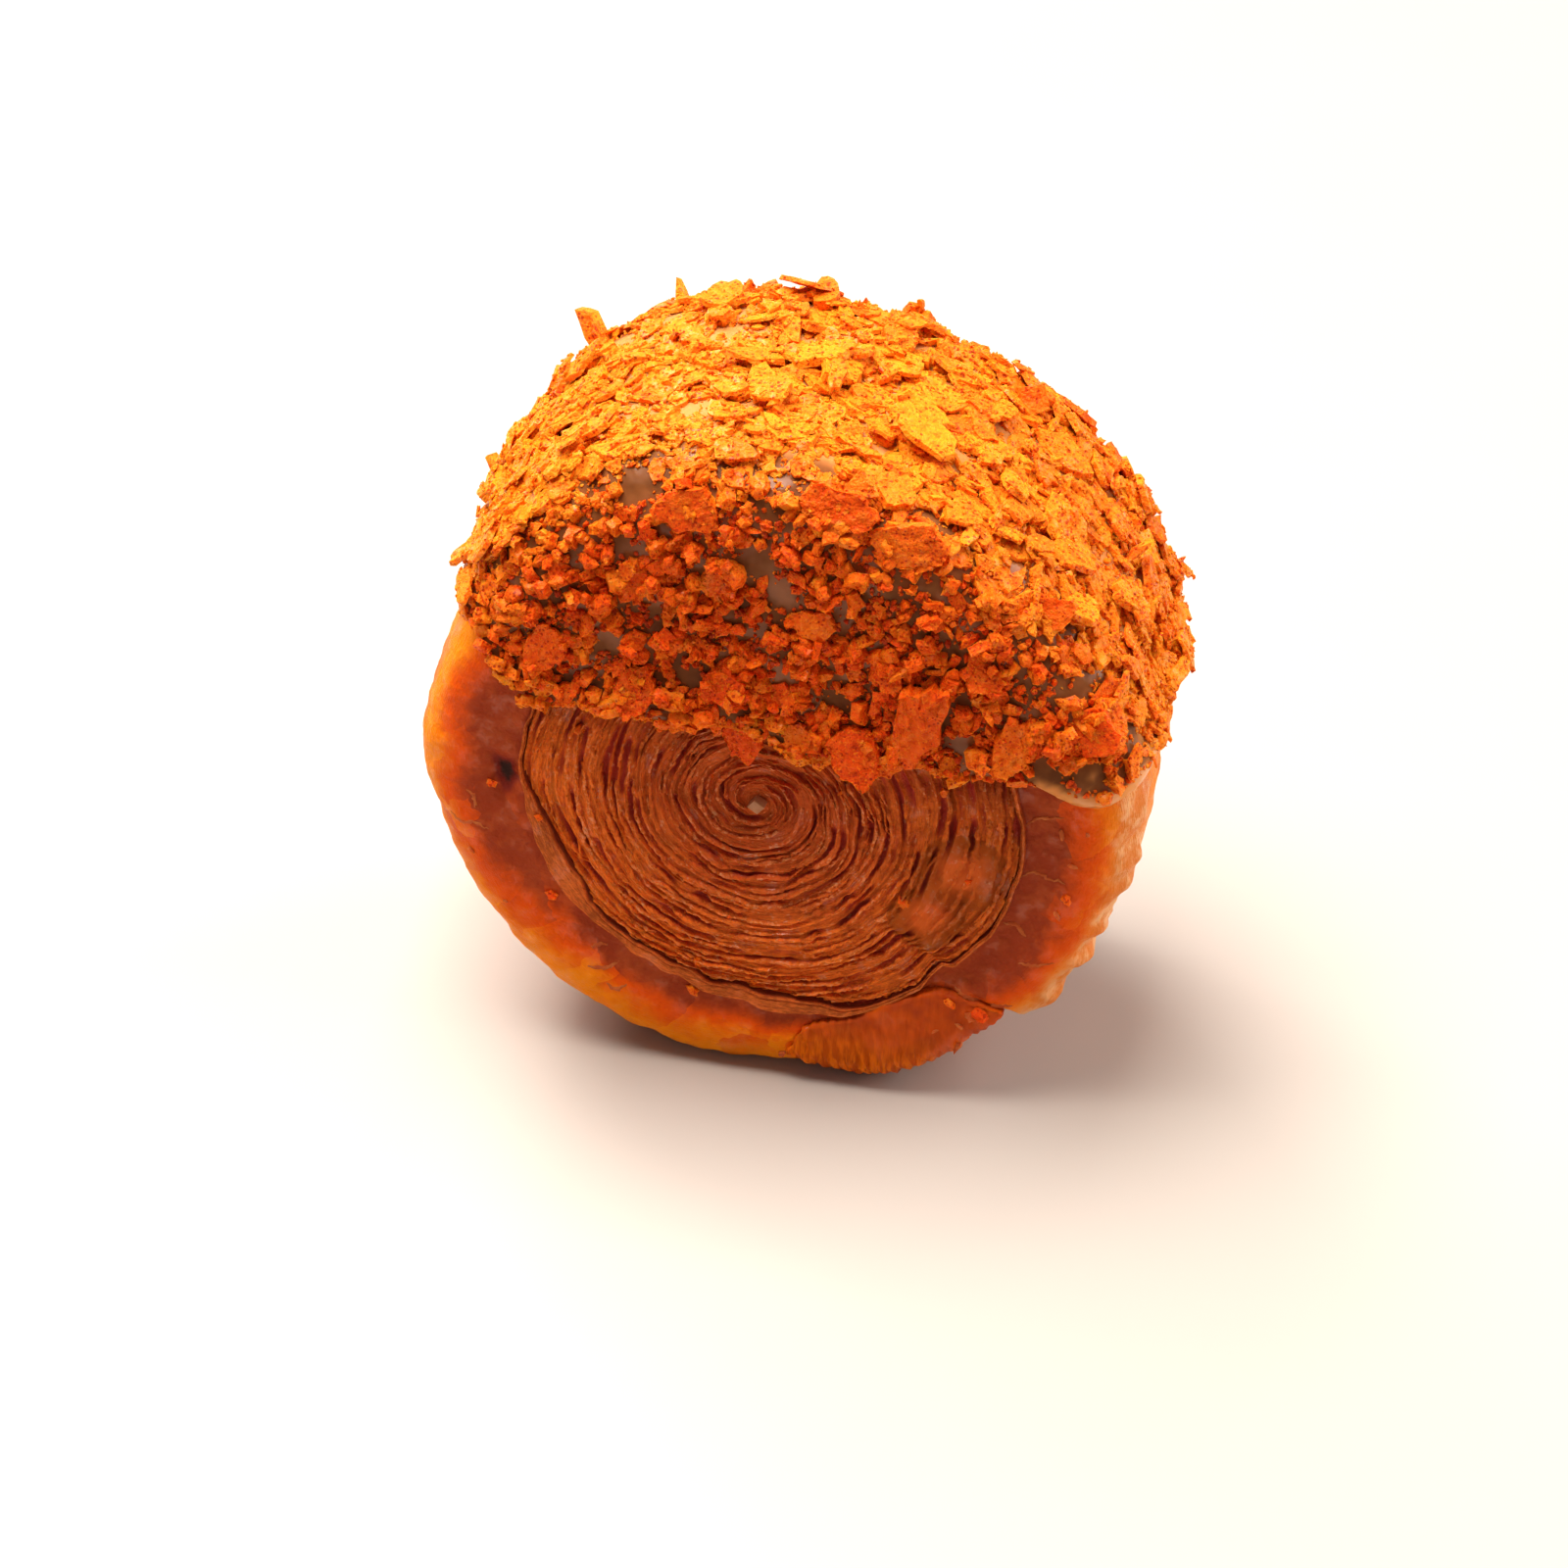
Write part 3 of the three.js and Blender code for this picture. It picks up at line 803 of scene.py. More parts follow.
def pastry_material(roll, coat):
    material, start = new_material("baked_layers")
    patterns = BakedPatterns(start)
    streaks, blots, specks, baked = patterns.streaks, patterns.blots, patterns.specks, patterns.baked
    colour = baked.ramp(0.002, 0.008).blend(layer_look(roll, coat, patterns), crust_look(roll, patterns))
    # Painted highlights: pale glints on the bare layers
    fine = patterns.place.noise(1300, 1, 0.5)
    painted_glints = (0.6 * fine + 0.4 * streaks + 0.2 * (blots - 0.5)).ramp(0.58, 0.7)
    painted_glint_colour = opaque(roll.crease_and_glint_colour, (0.8, 0.6, 0.65))
    colour = (0.6 * painted_glints * baked.ramp(0.006, 0.002)).blend(colour, painted_glint_colour)
    # Painted shade: the dent's inside turns near black
    dent = (patterns.gap + 0.3 * (blots - 0.5) + 0.5 * (specks - 0.5)).ramp(0.95, 1.4)
    colour = dent.blend(colour, opaque(roll.dent_shade_colour))
    smoothness = baked.ramp(0.0, 0.06)
    ragged = (1 - smoothness) * (1 - 0.7 * patterns.smear) * (0.5 * streaks + 0.4 * specks)
    height = ragged + 1.2 * smoothness * blots + 0.6 * patterns.mottle + 0.06 * specks + 0.7 * baked * streaks
    wet = (blots + 0.3 * (specks - 0.5) + 0.3 * patterns.fringe * (streaks - 0.4)).ramp(0.55, 0.66)
    finish_material(start, {
        "Base Color": colour,
        "Roughness": 0.5 + 0.2 * specks - 0.2 * smoothness,
        "Specular IOR Level": 0.05,
        "Subsurface Weight": 0.2,
        "Subsurface Radius": (1.0, 0.25, 0.06),
        "Subsurface Scale": 0.002,
        "Coat Weight": 0.45 * wet * (1 - 0.6 * baked),
        "Coat Roughness": 0.1,
        "Normal": bump(start, height, 0.001, 0.8),
    })
    return material


class CROISSANT_OT_pastry(bpy.types.Operator):
    """Winds the dough: layers on both faces, the lip over them, the rounded crust and the flat foot"""

    bl_idname = "croissant.pastry"
    bl_label = "Wound dough"

    def execute(self, context):
        roll = context.scene.croissant_roll
        columns = column_places(ROLL_COLUMNS)
        front = Coil(roll, columns, FRONT_LAYER_ROWS, np.random.default_rng(roll.seed))
        back = Coil(roll, columns, BACK_LAYER_ROWS, np.random.default_rng(roll.seed + 1))
        piece, column, row = grid(ROLL_COLUMNS, len(front.rows) + len(back.rows) - 1)

        def gather(field):
            stack = np.concatenate([getattr(front, field), getattr(back, field)[-2::-1]])
            return stack[row, column]

        radius = gather("radius")
        angle = front.angle[column]
        side = np.where(row < len(front.rows), -1, 1)
        y = side * (roll.depth / 2 - gather("depth"))
        x, z = on_face(roll, Outline(roll), angle, radius)
        write_points(piece.data, np.stack([x, y, z], 1))
        layers = np.stack([gather("gap"), gather("edge"), gather("baked")], 1)
        give_attribute(piece.data, "layers", "FLOAT_VECTOR", layers)
        winding = np.stack([gather("along"), gather("across"), filled(roll, x, z)], 1)
        give_attribute(piece.data, "winding", "FLOAT_VECTOR", winding)
        edit_all()
        bpy.ops.mesh.remove_doubles(threshold=0.002 * MM)
        face_outwards()
        self.lumps(piece)
        self.make_room(piece, roll)
        bpy.ops.object.shade_smooth_by_angle(angle=DOUGH_SMOOTHING)
        material = pastry_material(roll, context.scene.croissant_coat)
        settle(piece, "wound_dough", material, "pastry", ROLL_NODE)
        return {"FINISHED"}

    def lumps(self, piece):
        """Uneven crust: broad swellings and small blisters."""
        give_weights(piece, "crust", read_vectors(piece.data, "layers")[:, 2])
        apply_displacement(piece, "swellings", 12 * MM, 1.6 * MM, "crust")
        apply_displacement(piece, "blisters", 3 * MM, 0.9 * MM, "crust")

    def make_room(self, piece, roll):
        """Sinks the dough where the strip's end lies on it, and keeps the foot flat."""
        points = read_points(piece.data)
        normals = read_points(piece.data, "normal")
        level = points[:, [0, 2]] - (0, roll.axis_height)
        near = np.nonzero((level[:, 1] < -25 * MM) & (level[:, 0] > -2 * MM))[0]
        inside = distance_inside(level[near], leaf_border(1.08))
        sink = 2.6 * MM * between(-0.1 * MM, 1.4 * MM, inside)
        points[near] -= normals[near] * sink[:, None]
        self.dent(piece, points, level)
        points[:, 2] = np.maximum(points[:, 2], 0)
        write_points(piece.data, points)

    def dent(self, piece, points, level):
        """Presses one dent into the front and marks it for painted shade."""
        x, height, reach = MM * np.array(DARK_DENT)
        aside, up = (level - (x, height)).T
        turn = np.arctan2(up, aside)
        apart = np.hypot(aside, 0.8 * up) * (1 + 0.25 * np.sin(2 * turn + 1) + 0.15 * np.sin(5 * turn))
        share = between(reach, 0.1 * reach, apart) * (points[:, 1] < 0)
        points[:, 1] += 1.2 * MM * share
        layers = read_vectors(piece.data, "layers")
        layers[:, 0] = np.maximum(layers[:, 0], 1.5 * share)
        give_attribute(piece.data, "layers", "FLOAT_VECTOR", layers)


def chains_piece(chains):
    """One piece from chains of closed sections, with the faces between them and at both ends."""
    points, faces = [], []
    count = 0
    for places in chains:
        steps, corners, _ = places.shape
        index = count + np.arange(steps * corners).reshape(steps, corners)
        turned = np.roll(index, -1, axis=1)
        faces += np.stack([index[:-1], turned[:-1], turned[1:], index[1:]], -1).reshape(-1, 4).tolist()
        faces += [index[0].tolist(), index[-1].tolist()]
        points.append(places.reshape(-1, 3))
        count += steps * corners
    piece = joined(points, faces)
    edit_all()
    face_outwards()
    bpy.ops.object.shade_smooth_by_angle(angle=DOUGH_SMOOTHING)
    return piece


class CROISSANT_OT_sheets(bpy.types.Operator):
    """Stands the thin torn edges of the layers up from both faces"""

    bl_idname = "croissant.sheets"
    bl_label = "Layer edges"

    def execute(self, context):
        roll = context.scene.croissant_roll
        coat = context.scene.croissant_coat
        outline = Outline(roll)
        runs = []
        columns = column_places(ROLL_COLUMNS)
        for side, step in ((-1, 0.32 * MM), (1, 0.8 * MM)):
            random = np.random.default_rng(roll.seed + (side > 0))
            coil = Coil(roll, columns, FRONT_LAYER_ROWS, random)
            for arm in range(roll.layers_per_turn + roll.strays_per_turn):
                runs += self.sheet(roll, coat, outline, coil, side, arm, step)
        piece = chains_piece([places for places, _, _ in runs])
        for field, name in ((1, "layers"), (2, "winding")):
            values = np.concatenate([run[field].reshape(-1, 3) for run in runs])
            give_attribute(piece.data, name, "FLOAT_VECTOR", values)
        settle(piece, "layer_edges", bpy.data.materials["baked_layers"], "pastry", ROLL_NODE)
        return {"FINISHED"}

    def sheet(self, roll, coat, outline, coil, side, arm, step):
        """Runs of one sheet where it stands out of the dough, each as a chain of closed sections.

        The first arms ride on the layers' ridges; the others are thin strays anywhere between them.
        """
        per_turn = roll.layers_per_turn
        turn_pitch = per_turn * roll.layer_pitch
        stray = arm >= per_turn
        travel = np.arange(step, np.pi * (PAST_LIP * roll.lip_radius) ** 2 / turn_pitch, step)
        turns = np.sqrt(travel / (np.pi * turn_pitch))

        def ripple(wavelength):
            return Ripple(coil.random, 1, SHEET_KNOTS)(np.zeros(len(travel), int), travel / wavelength)

        def wander(index):
            lap = turns + index // per_turn
            return coil.wander(np.full(len(turns), index % per_turn), np.pi * turn_pitch * lap**2)

        if stray:
            share = turns + arm / roll.strays_per_turn
            radius = turn_pitch * turns + roll.layer_pitch * (0.8 * ripple(14 * MM) + 0.3 * ripple(3 * MM))
            height = MM * (0.35 + 0.3 * ripple(9 * MM) + 0.2 * ripple(2 * MM) + 0.15 * ripple(0.7 * MM))
            width = MM * (0.22 + 0.08 * ripple(4 * MM))
            whole = ripple(12 * MM) + 0.5 * ripple(3 * MM) > 0.4 - 0.9 * between(16 * MM, 5 * MM, radius)
        else:
            share = turns
            middle = arm + 0.5 + 0.5 * (wander(arm) + wander(arm + 1))
            radius = turn_pitch * turns + roll.layer_pitch * (middle + 0.1 * ripple(1.4 * MM))
            height = MM * (0.1 + 0.25 * ripple(9 * MM) + 0.22 * ripple(2.4 * MM) + 0.2 * ripple(0.8 * MM))
            width = MM * (0.56 + 0.18 * ripple(5 * MM) + 0.18 * ripple(1.0 * MM))
            whole = ripple(8 * MM) + 0.6 * ripple(2 * MM) > -0.6
        angle = clock_angle(share)
        lip = np.interp(share % 1, coil.columns, coil.gap_edge)
        lean = MM * (0.2 * ripple(6 * MM) + 0.1 * ripple(1.3 * MM))
        bright = between(-0.4, 0.9, ripple(3 * MM) + 0.6 * ripple(11 * MM))
        x, z = on_face(roll, outline, angle, radius)
        height = height - 0.4 * MM * filled(roll, x, z)
        level = dip_line(coat, x, side * roll.depth / 2) + roll.axis_height + MM
        shows = np.nonzero((radius > 1.2 * MM) & (radius < lip - 0.3 * MM) & (z < level) & whole)[0]
        course = {
            "travel": travel, "angle": angle, "radius": radius, "lip": lip,
            "height": height, "width": width, "lean": lean, "bright": bright,
        }
        runs = []
        for run in np.split(shows, np.nonzero(np.diff(shows) > 1)[0] + 1):
            if len(run) >= SHORTEST_RUN:
                part = {name: values[run] for name, values in course.items()}
                runs.append(self.chain(roll, outline, coil.random, side, step, **part))
        return runs

    def chain(
        self, roll, outline, random, side, step, *, travel, angle, radius, lip, height, width, lean, bright
    ):
        """Sections of one run, sunk at both ends, and what the material reads at their corners."""
        count = len(travel)
        near_end = np.minimum(np.arange(count), np.arange(count)[::-1]) * step
        taper = smooth(near_end / (1.5 * MM))
        top = height * taper - 0.7 * MM * (1 - taper)
        tilt = lean * taper
        half = width / 2
        foot = np.full(count, -1.3 * MM)
        crest = [tilt + share * half for share in (-1, -0.4, 0.5, 1)]
        offset = np.stack([-1.25 * half, *crest, 1.25 * half], 1)
        rise = np.stack([foot, top - 0.2 * MM, top - 0.03 * MM, top, top - 0.16 * MM, foot], 1)
        crumbly = random.normal(0, 0.07 * MM, (2, count, 4))
        offset[:, 1:5] += crumbly[0]
        rise[:, 1:5] += crumbly[1]
        reach = radius[:, None] + offset
        spread = np.ones((1, 6))
        x, z = on_face(roll, outline, angle[:, None] * spread, reach)
        y = side * (roll.depth / 2 - bowl(reach, lip[:, None]) + rise)
        # Painted shade at the foot of each sheet, and painted highlights along its top
        gap = np.array([0.9, 0.3, 0.0, 0.0, 0.3, 0.9]) * np.ones((count, 1))
        edge = bright[:, None] * np.array([0.0, 0.5, 1.0, 0.9, 0.5, 0.0])
        layers = np.stack([gap, edge, 0 * gap], -1)
        winding = np.stack([travel[:, None] * spread, reach, filled(roll, x, z)], -1)
        return np.stack([x, y, z], -1), layers, winding


def strip_material(roll):
    material, start = new_material("strip_end")
    place = start.object_place()
    slant = {"Vector": place, "Rotation": (0, 0.75, 0), "Scale": (5, 0.6, 0.7)}
    lines = start.node("ShaderNodeMapping", None, slant).noise(260, 3, 0.6)
    mottle = place.noise(170, 3, 0.55)
    height = place.split().other(2)
    low = (height + 0.01 * (mottle - 0.5)).ramp(0.013, 0.003)
    ruddy = opaque(roll.crust_colour, (0.85, 1.05, 1))
    skin = mottle.ramp(0.3, 0.7).blend(opaque(roll.band_colour, 1.15), ruddy)
    amber = opaque(0.5 * np.array(roll.rim_colour) + 0.45 * np.array(roll.crust_colour))
    colour = low.blend(skin, amber)
    dark_lines = (0.25 + 0.5 * low) * lines.ramp(0.58, 0.42)
    colour = dark_lines.blend(colour, opaque(roll.crust_colour, 0.5))
    finish_material(start, {
        "Base Color": colour,
        "Roughness": 0.3 + 0.2 * mottle,
        "Specular IOR Level": 0.04,
        "Subsurface Weight": 0.2,
        "Subsurface Radius": (1.0, 0.25, 0.06),
        "Subsurface Scale": 0.002,
        "Coat Weight": 0.3 * mottle.ramp(0.5, 0.7),
        "Coat Roughness": 0.1,
        "Normal": bump(start, (0.4 + 0.6 * low) * lines + 0.5 * mottle, 0.0008, 0.8),
    })
    return material


class CROISSANT_OT_strip_end(bpy.types.Operator):
    """Lays the leaf-shaped end of the strip under the roll"""

    bl_idname = "croissant.strip_end"
    bl_label = "Strip end"

    def execute(self, context):
        roll = context.scene.croissant_roll
        loops = self.loops(roll)
        piece, column, row = grid(loops.shape[0] - 1, loops.shape[1])
        write_points(piece.data, loops[column, row])
        edit_all()
        bpy.ops.mesh.remove_doubles(threshold=0.02 * MM)
        bpy.ops.mesh.select_all(action="DESELECT")
        bpy.ops.mesh.select_non_manifold()
        bpy.ops.mesh.fill()
        face_outwards()
        apply_displacement(piece, "swellings", 7 * MM, 0.9 * MM)
        apply_displacement(piece, "ragged", 1.6 * MM, 0.8 * MM)
        points = read_points(piece.data)
        self.ribs(piece.data, points)
        points[:, 2] = np.maximum(points[:, 2], 0)
        write_points(piece.data, points)
        bpy.ops.object.shade_smooth()
        settle(piece, "strip_end", strip_material(roll), "pastry", ROLL_NODE)
        return {"FINISHED"}

    def ribs(self, mesh, points):
        """Raises slanting ribs, the edges of the layers, on the lower part of the leaf."""
        across = 0.93 * points[:, 0] + 0.36 * points[:, 2]
        wave = np.sin(2 * np.pi * across / (1.5 * MM) + 2 * np.sin(across / (2.3 * MM)) + 150 * points[:, 1])
        low = between(17 * MM, 8 * MM, points[:, 2])
        points += read_points(mesh, "normal") * (0.22 * MM * low * wave)[:, None]

    def loops(self, roll):
        """Closed sections across the leaf, from its tip to the seam, each round its front, rim and back."""
        shares = np.linspace(0, 1, LEAF_SECTIONS)
        top = MM * flowing(LEAF_TOP, shares)
        bottom = MM * flowing(LEAF_BOTTOM, shares)
        half = roll.depth / 2 + 0.3 * MM
        loops = []
        for upper, lower in zip(top, bottom):
            width = np.linalg.norm(lower - upper)
            down = (lower - upper) / max(width, 1e-9)
            bend = min(7 * MM, 0.7 * width)
            nick = min(0.35 * MM, 0.1 * width)
            section = [(nick, -half)]
            section += [(nick + share * (width - bend - nick), -half) for share in np.linspace(0, 1, 14)[1:]]
            for turn in np.linspace(0, np.pi / 2, 9)[1:]:
                section.append((width - bend + bend * np.sin(turn), -half + bend * (1 - np.cos(turn))))
            section += [(width, y) for y in np.linspace(-half + bend, 0, 10)[1:]]
            section += [(reach, -y) for reach, y in section[-2::-1]]
            section += [(0.0, y) for y in np.linspace(half - nick, -half + nick, 10)]
            section.append(section[0])
            places = [(*(upper + reach * down), y) for reach, y in section]
            loops.append([(x, y, z + roll.axis_height) for x, z, y in places])
        return np.array(loops)


def dried_glaze_material(roll):
    material, start = new_material("dried_glaze")
    cloud = start.object_place().noise(500, 3, 0.6)
    brown = opaque(roll.crease_and_glint_colour, (0.5, 0.15, 0.08))
    tan = opaque(roll.crease_and_glint_colour, (0.62, 0.26, 0.15))
    finish_material(start, {
        "Base Color": cloud.ramp(0.35, 0.65).blend(brown, tan),
        "Roughness": 0.3 + 0.2 * cloud,
        "Specular IOR Level": 0.06,
        "Subsurface Weight": 0.4,
        "Subsurface Radius": (1.0, 0.4, 0.15),
        "Subsurface Scale": 0.002,
        "Normal": bump(start, cloud, 0.0005, 0.5),
    })
    return material


class CROISSANT_OT_creases(bpy.types.Operator):
    """Draws creases of dried glaze on the bare side of the outer turn, and a few loose bits"""

    bl_idname = "croissant.creases"
    bl_label = "Dried glaze"

    def execute(self, context):
        roll = context.scene.croissant_roll
        random = np.random.default_rng(roll.seed + 2)
        below = piece_trees("wound_dough", "strip_end")
        material = dried_glaze_material(roll)
        piece = chains_piece([self.ridge(roll, line, below, random) for line in CREASES])
        settle(piece, "glaze_creases", material, "pastry", ROLL_NODE)
        bits = Flakes([wafer_shape(5, 0.25, 0.45, random) for _ in range(6)])
        out = Vector((0, -1, 0))
        for x, height, size in PALE_BITS:
            place = Vector((x * MM, -roll.depth / 2, roll.axis_height + height * MM))
            lean = Vector(random.normal(0, 0.3, 3))
            if not lay(bits, place, out, size * MM, lean, random.uniform(0, 6), below, random, 0.06):
                raise RuntimeError("a bit of dried glaze has nothing to lie on")
        settle(bits.piece(), "glaze_bits", material, "pastry", ROLL_NODE)
        return {"FINISHED"}

    def ridge(self, roll, line, below, random):
        """A low ragged ridge along a line on the front, as a chain of closed sections."""
        length = np.linalg.norm(np.diff(np.array(line[1:]), axis=0), axis=1).sum()
        steps = max(8, int(length / 0.3))
        shares = np.linspace(0, 1, steps)
        path = MM * flowing(line[1:], shares) + random.normal(0, 0.1 * MM, (steps, 2))
        along = np.gradient(path, axis=0)
        aside = np.stack([-along[:, 1], along[:, 0]], 1) / np.linalg.norm(along, axis=1)[:, None]
        taper = np.sqrt(np.sin(np.pi * np.clip(shares, 0.02, 0.98)))
        half = 0.75 * MM * line[0] * taper * random.uniform(0.7, 1.3, steps)
        rise = 0.16 * MM * taper * random.uniform(0.6, 1.3, steps)
        depths = []
        for x, z in path:
            hit = first_hit(below, Vector((x, -IN_FRONT, z + roll.axis_height)), Vector((0, 1, 0)))
            depths.append(hit[0].y if hit else -roll.depth / 2)
        sunk = 0.3 * MM
        section = ((-1.0, sunk, 0.0), (-0.5, 0.0, 0.8), (0.0, 0.0, 1.0), (0.5, 0.0, 0.7), (1.0, sunk, 0.0))
        places = []
        for side, base, share in section:
            flat = path + side * half[:, None] * aside
            y = np.array(depths) + base - share * rise
            places.append(np.stack([flat[:, 0], y, flat[:, 1] + roll.axis_height], 1))
        return np.stack(places, 1)


def dip_line(coat, x, y):
    """Height over the axis down to which the roll was dipped."""
    rise = coat.left_rise * np.exp(-(((x + 0.046) / 0.009) ** 2))
    wave = 1.0 * np.sin(x / 0.0031 + 130 * y) + 0.8 * np.sin(x / 0.0057 - 95 * y + 1)
    return coat.dip_height + coat.dip_slope * x + rise + MM * wave


def glaze_material(coat):
    material, start = new_material("caramel_glaze")
    place = start.object_place()
    pool = start.attribute("pool", "Fac")
    cloud = place.noise(160, 3, 0.5)
    # The dark glaze stands in for painted shade between the flakes; on the rim it turns to the pool colour as
    # painted light
    colour = cloud.ramp(0.3, 0.7).blend(opaque(coat.glaze_and_shade_colour, 0.5), opaque(coat.glaze_and_shade_colour))
    colour = (pool + 0.5 * (cloud - 0.5)).ramp(0.1, 0.8).blend(colour, opaque(coat.pool_and_rim_light_colour))
    finish_material(start, {
        "Base Color": colour,
        "Roughness": 0.28 + 0.2 * cloud,
        "Specular IOR Level": 0.05,
        "Subsurface Weight": 0.3,
        "Subsurface Radius": (1.0, 0.5, 0.2),
        "Subsurface Scale": 0.003,
        "Coat Weight": (0.4 + 0.55 * pool) * cloud.ramp(0.45, 0.58),
        "Coat Roughness": 0.08,
        "Normal": bump(start, place.noise(300, 2, 0.5), 0.0006, 0.5),
    })
    return material


class CROISSANT_OT_glaze(bpy.types.Operator):
    """Bends a skin round the roll, cuts it along the dip line and lets it thicken into a lip"""

    bl_idname = "croissant.glaze"
    bl_label = "Glaze"

    def execute(self, context):
        roll = context.scene.croissant_roll
        coat = context.scene.croissant_coat
        section = self.section(roll)
        piece, column, row = grid(GLAZE_COLUMNS, len(section))
        angle = 2 * np.pi * column / GLAZE_COLUMNS
        radius, y = section[row].T
        radius = radius * Outline(roll).stretch(angle, radius)
        x = radius * np.cos(angle)
        height = radius * np.sin(angle)
        write_points(piece.data, np.stack([x, y, height - dip_line(coat, x, y)], 1))
        edit_all()
        bpy.ops.mesh.remove_doubles(threshold=0.01 * MM)
        bpy.ops.mesh.bisect(plane_co=(0, 0, 0), plane_no=(0, 0, 1), clear_inner=True)
        face_outwards()
        points = read_points(piece.data)
        above = points[:, 2].copy()
        points[:, 2] += dip_line(coat, points[:, 0], points[:, 1]) + roll.axis_height
        write_points(piece.data, points)
        self.thicken(piece, coat, above, roll.axis_height)
        bpy.ops.object.shade_smooth()
        settle(piece, "caramel_glaze", glaze_material(coat), "coat", COAT_NODE)
        return {"FINISHED"}

    def section(self, roll):
        """Half section of the bare roll, from the middle of the front face over the rim to the back."""
        bend = roll.edge_round
        start = roll.radius - bend
        half = roll.depth / 2
        points = [(reach * start, -half) for reach in np.linspace(0, 1, 26)]
        for turn in np.linspace(0, np.pi / 2, 9)[1:]:
            points.append((start + bend * np.sin(turn), -half + bend * (1 - np.cos(turn))))
        points += [(roll.radius, y) for y in np.linspace(-half + bend, 0, 12)[1:]]
        points += [(reach, -y) for reach, y in points[-2::-1]]
        return np.array(points)

    def thicken(self, piece, coat, above, axis_height):
        """Raises the glaze off the dough: a bead along its lower edge, and uneven runs over it."""
        mesh = piece.data
        points = read_points(mesh)
        rise = np.sqrt(np.clip(1 - (1 - np.clip(above / (1.8 * MM), 0, 1)) ** 2, 0, 1))
        bead = 0.9 * MM * np.exp(-(((above - 2.2 * MM) / (1.8 * MM)) ** 2))
        pools = [(*spot[:3], 1.6 * spot[3]) for spot in BARE_SPOTS[:2]]
        pooled = 0 * bead
        for x, y, z, reach in MM * np.array(pools):
            apart = np.linalg.norm(points - (x, y, z + axis_height), axis=1)
            pooled = np.maximum(pooled, between(reach, 0.3 * reach, apart))
        bead += 1.3 * MM * pooled
        low = between(4 * MM, 2 * MM, above) * between(33 * MM, 40 * MM, points[:, 0])
        # The glaze over the rim takes most of the pool colour as painted light
        rim = between(21 * MM, 17 * MM, np.abs(points[:, 1]))
        give_attribute(mesh, "pool", "FLOAT", np.maximum(np.maximum(pooled, low), 0.7 * rim))
        height = rise * (coat.glaze_thickness + bead) - 0.25 * MM
        write_points(mesh, points + read_points(mesh, "normal") * height[:, None])
        give_weights(piece, "away_from_edge", between(0, 4 * MM, above))
        apply_displacement(piece, "runs", 9 * MM, 1.6 * MM, "away_from_edge")
        shell = piece.modifiers.new("shell", "SOLIDIFY")
        shell.thickness = 0.5 * MM
        shell.offset = -1
        bpy.ops.object.modifier_apply(modifier="shell")


class Flakes:
    """Many copies of a few flake shapes, gathered for one joined mesh."""

    def __init__(self, shapes):
        self.shapes = shapes
        self.points = []
        self.faces = []
        self.tones = []
        self.count = 0

    def add(self, shape, matrix, tone):
        points, faces = self.shapes[shape]
        turned = points @ np.array(matrix.to_3x3()).T + np.array(matrix.translation)
        self.points.append(turned)
        self.faces += [[corner + self.count for corner in face] for face in faces]
        self.tones.append(np.full(len(points), tone))
        self.count += len(points)

    def tree(self):
        return BVHTree.FromPolygons(np.concatenate(self.points).tolist(), self.faces)

    def piece(self):
        piece = joined(self.points, self.faces)
        give_attribute(piece.data, "tone", "FLOAT", np.concatenate(self.tones))
        bpy.ops.object.shade_smooth_by_angle(angle=FLAKE_SMOOTHING)
        return piece


def take_shape():
    """The active object's points and faces; the object itself goes."""
    piece = bpy.context.object
    deselect()
    points = read_points(piece.data)
    faces = [list(face.vertices) for face in piece.data.polygons]
    mesh = piece.data
    bpy.data.objects.remove(piece)
    bpy.data.meshes.remove(mesh)
    return points, faces


def wafer_shape(corners, thickness, slim, random):
    """A broken bit of wafer one unit across: straight broken sides, ragged a little, and an uneven top."""
    deselect()
    bpy.ops.mesh.primitive_circle_add(vertices=corners, radius=0.5, fill_type="NOTHING")
    piece = bpy.context.object
    points = read_points(piece.data)
    points[:, :2] *= random.uniform(0.62, 1.1, (corners, 1)) * (1, slim)
    write_points(piece.data, points)
    edit_all()
    bpy.ops.mesh.subdivide(number_cuts=1)
    bpy.ops.object.mode_set(mode="OBJECT")
    points = read_points(piece.data)
    points[:, :2] *= random.uniform(0.84, 1.1, (len(points), 1))
    write_points(piece.data, points)
    edit_all()
    bpy.ops.mesh.edge_face_add()
    bpy.ops.mesh.extrude_region_move(TRANSFORM_OT_translate={"value": (0, 0, thickness)})
    bpy.ops.transform.resize(value=(0.94, 0.94, 1))
    bpy.ops.mesh.poke(offset=0.15 * thickness)
    face_outwards()
    points = read_points(piece.data)
    points[:, 2] -= 0.5 * thickness
    bow = random.uniform(-0.2, 0.25)
    points[:, 2] += bow * (points[:, 0] ** 2 - 0.08) + random.normal(0, 0.14 * thickness, len(points))
    write_points(piece.data, points)
    return take_shape()


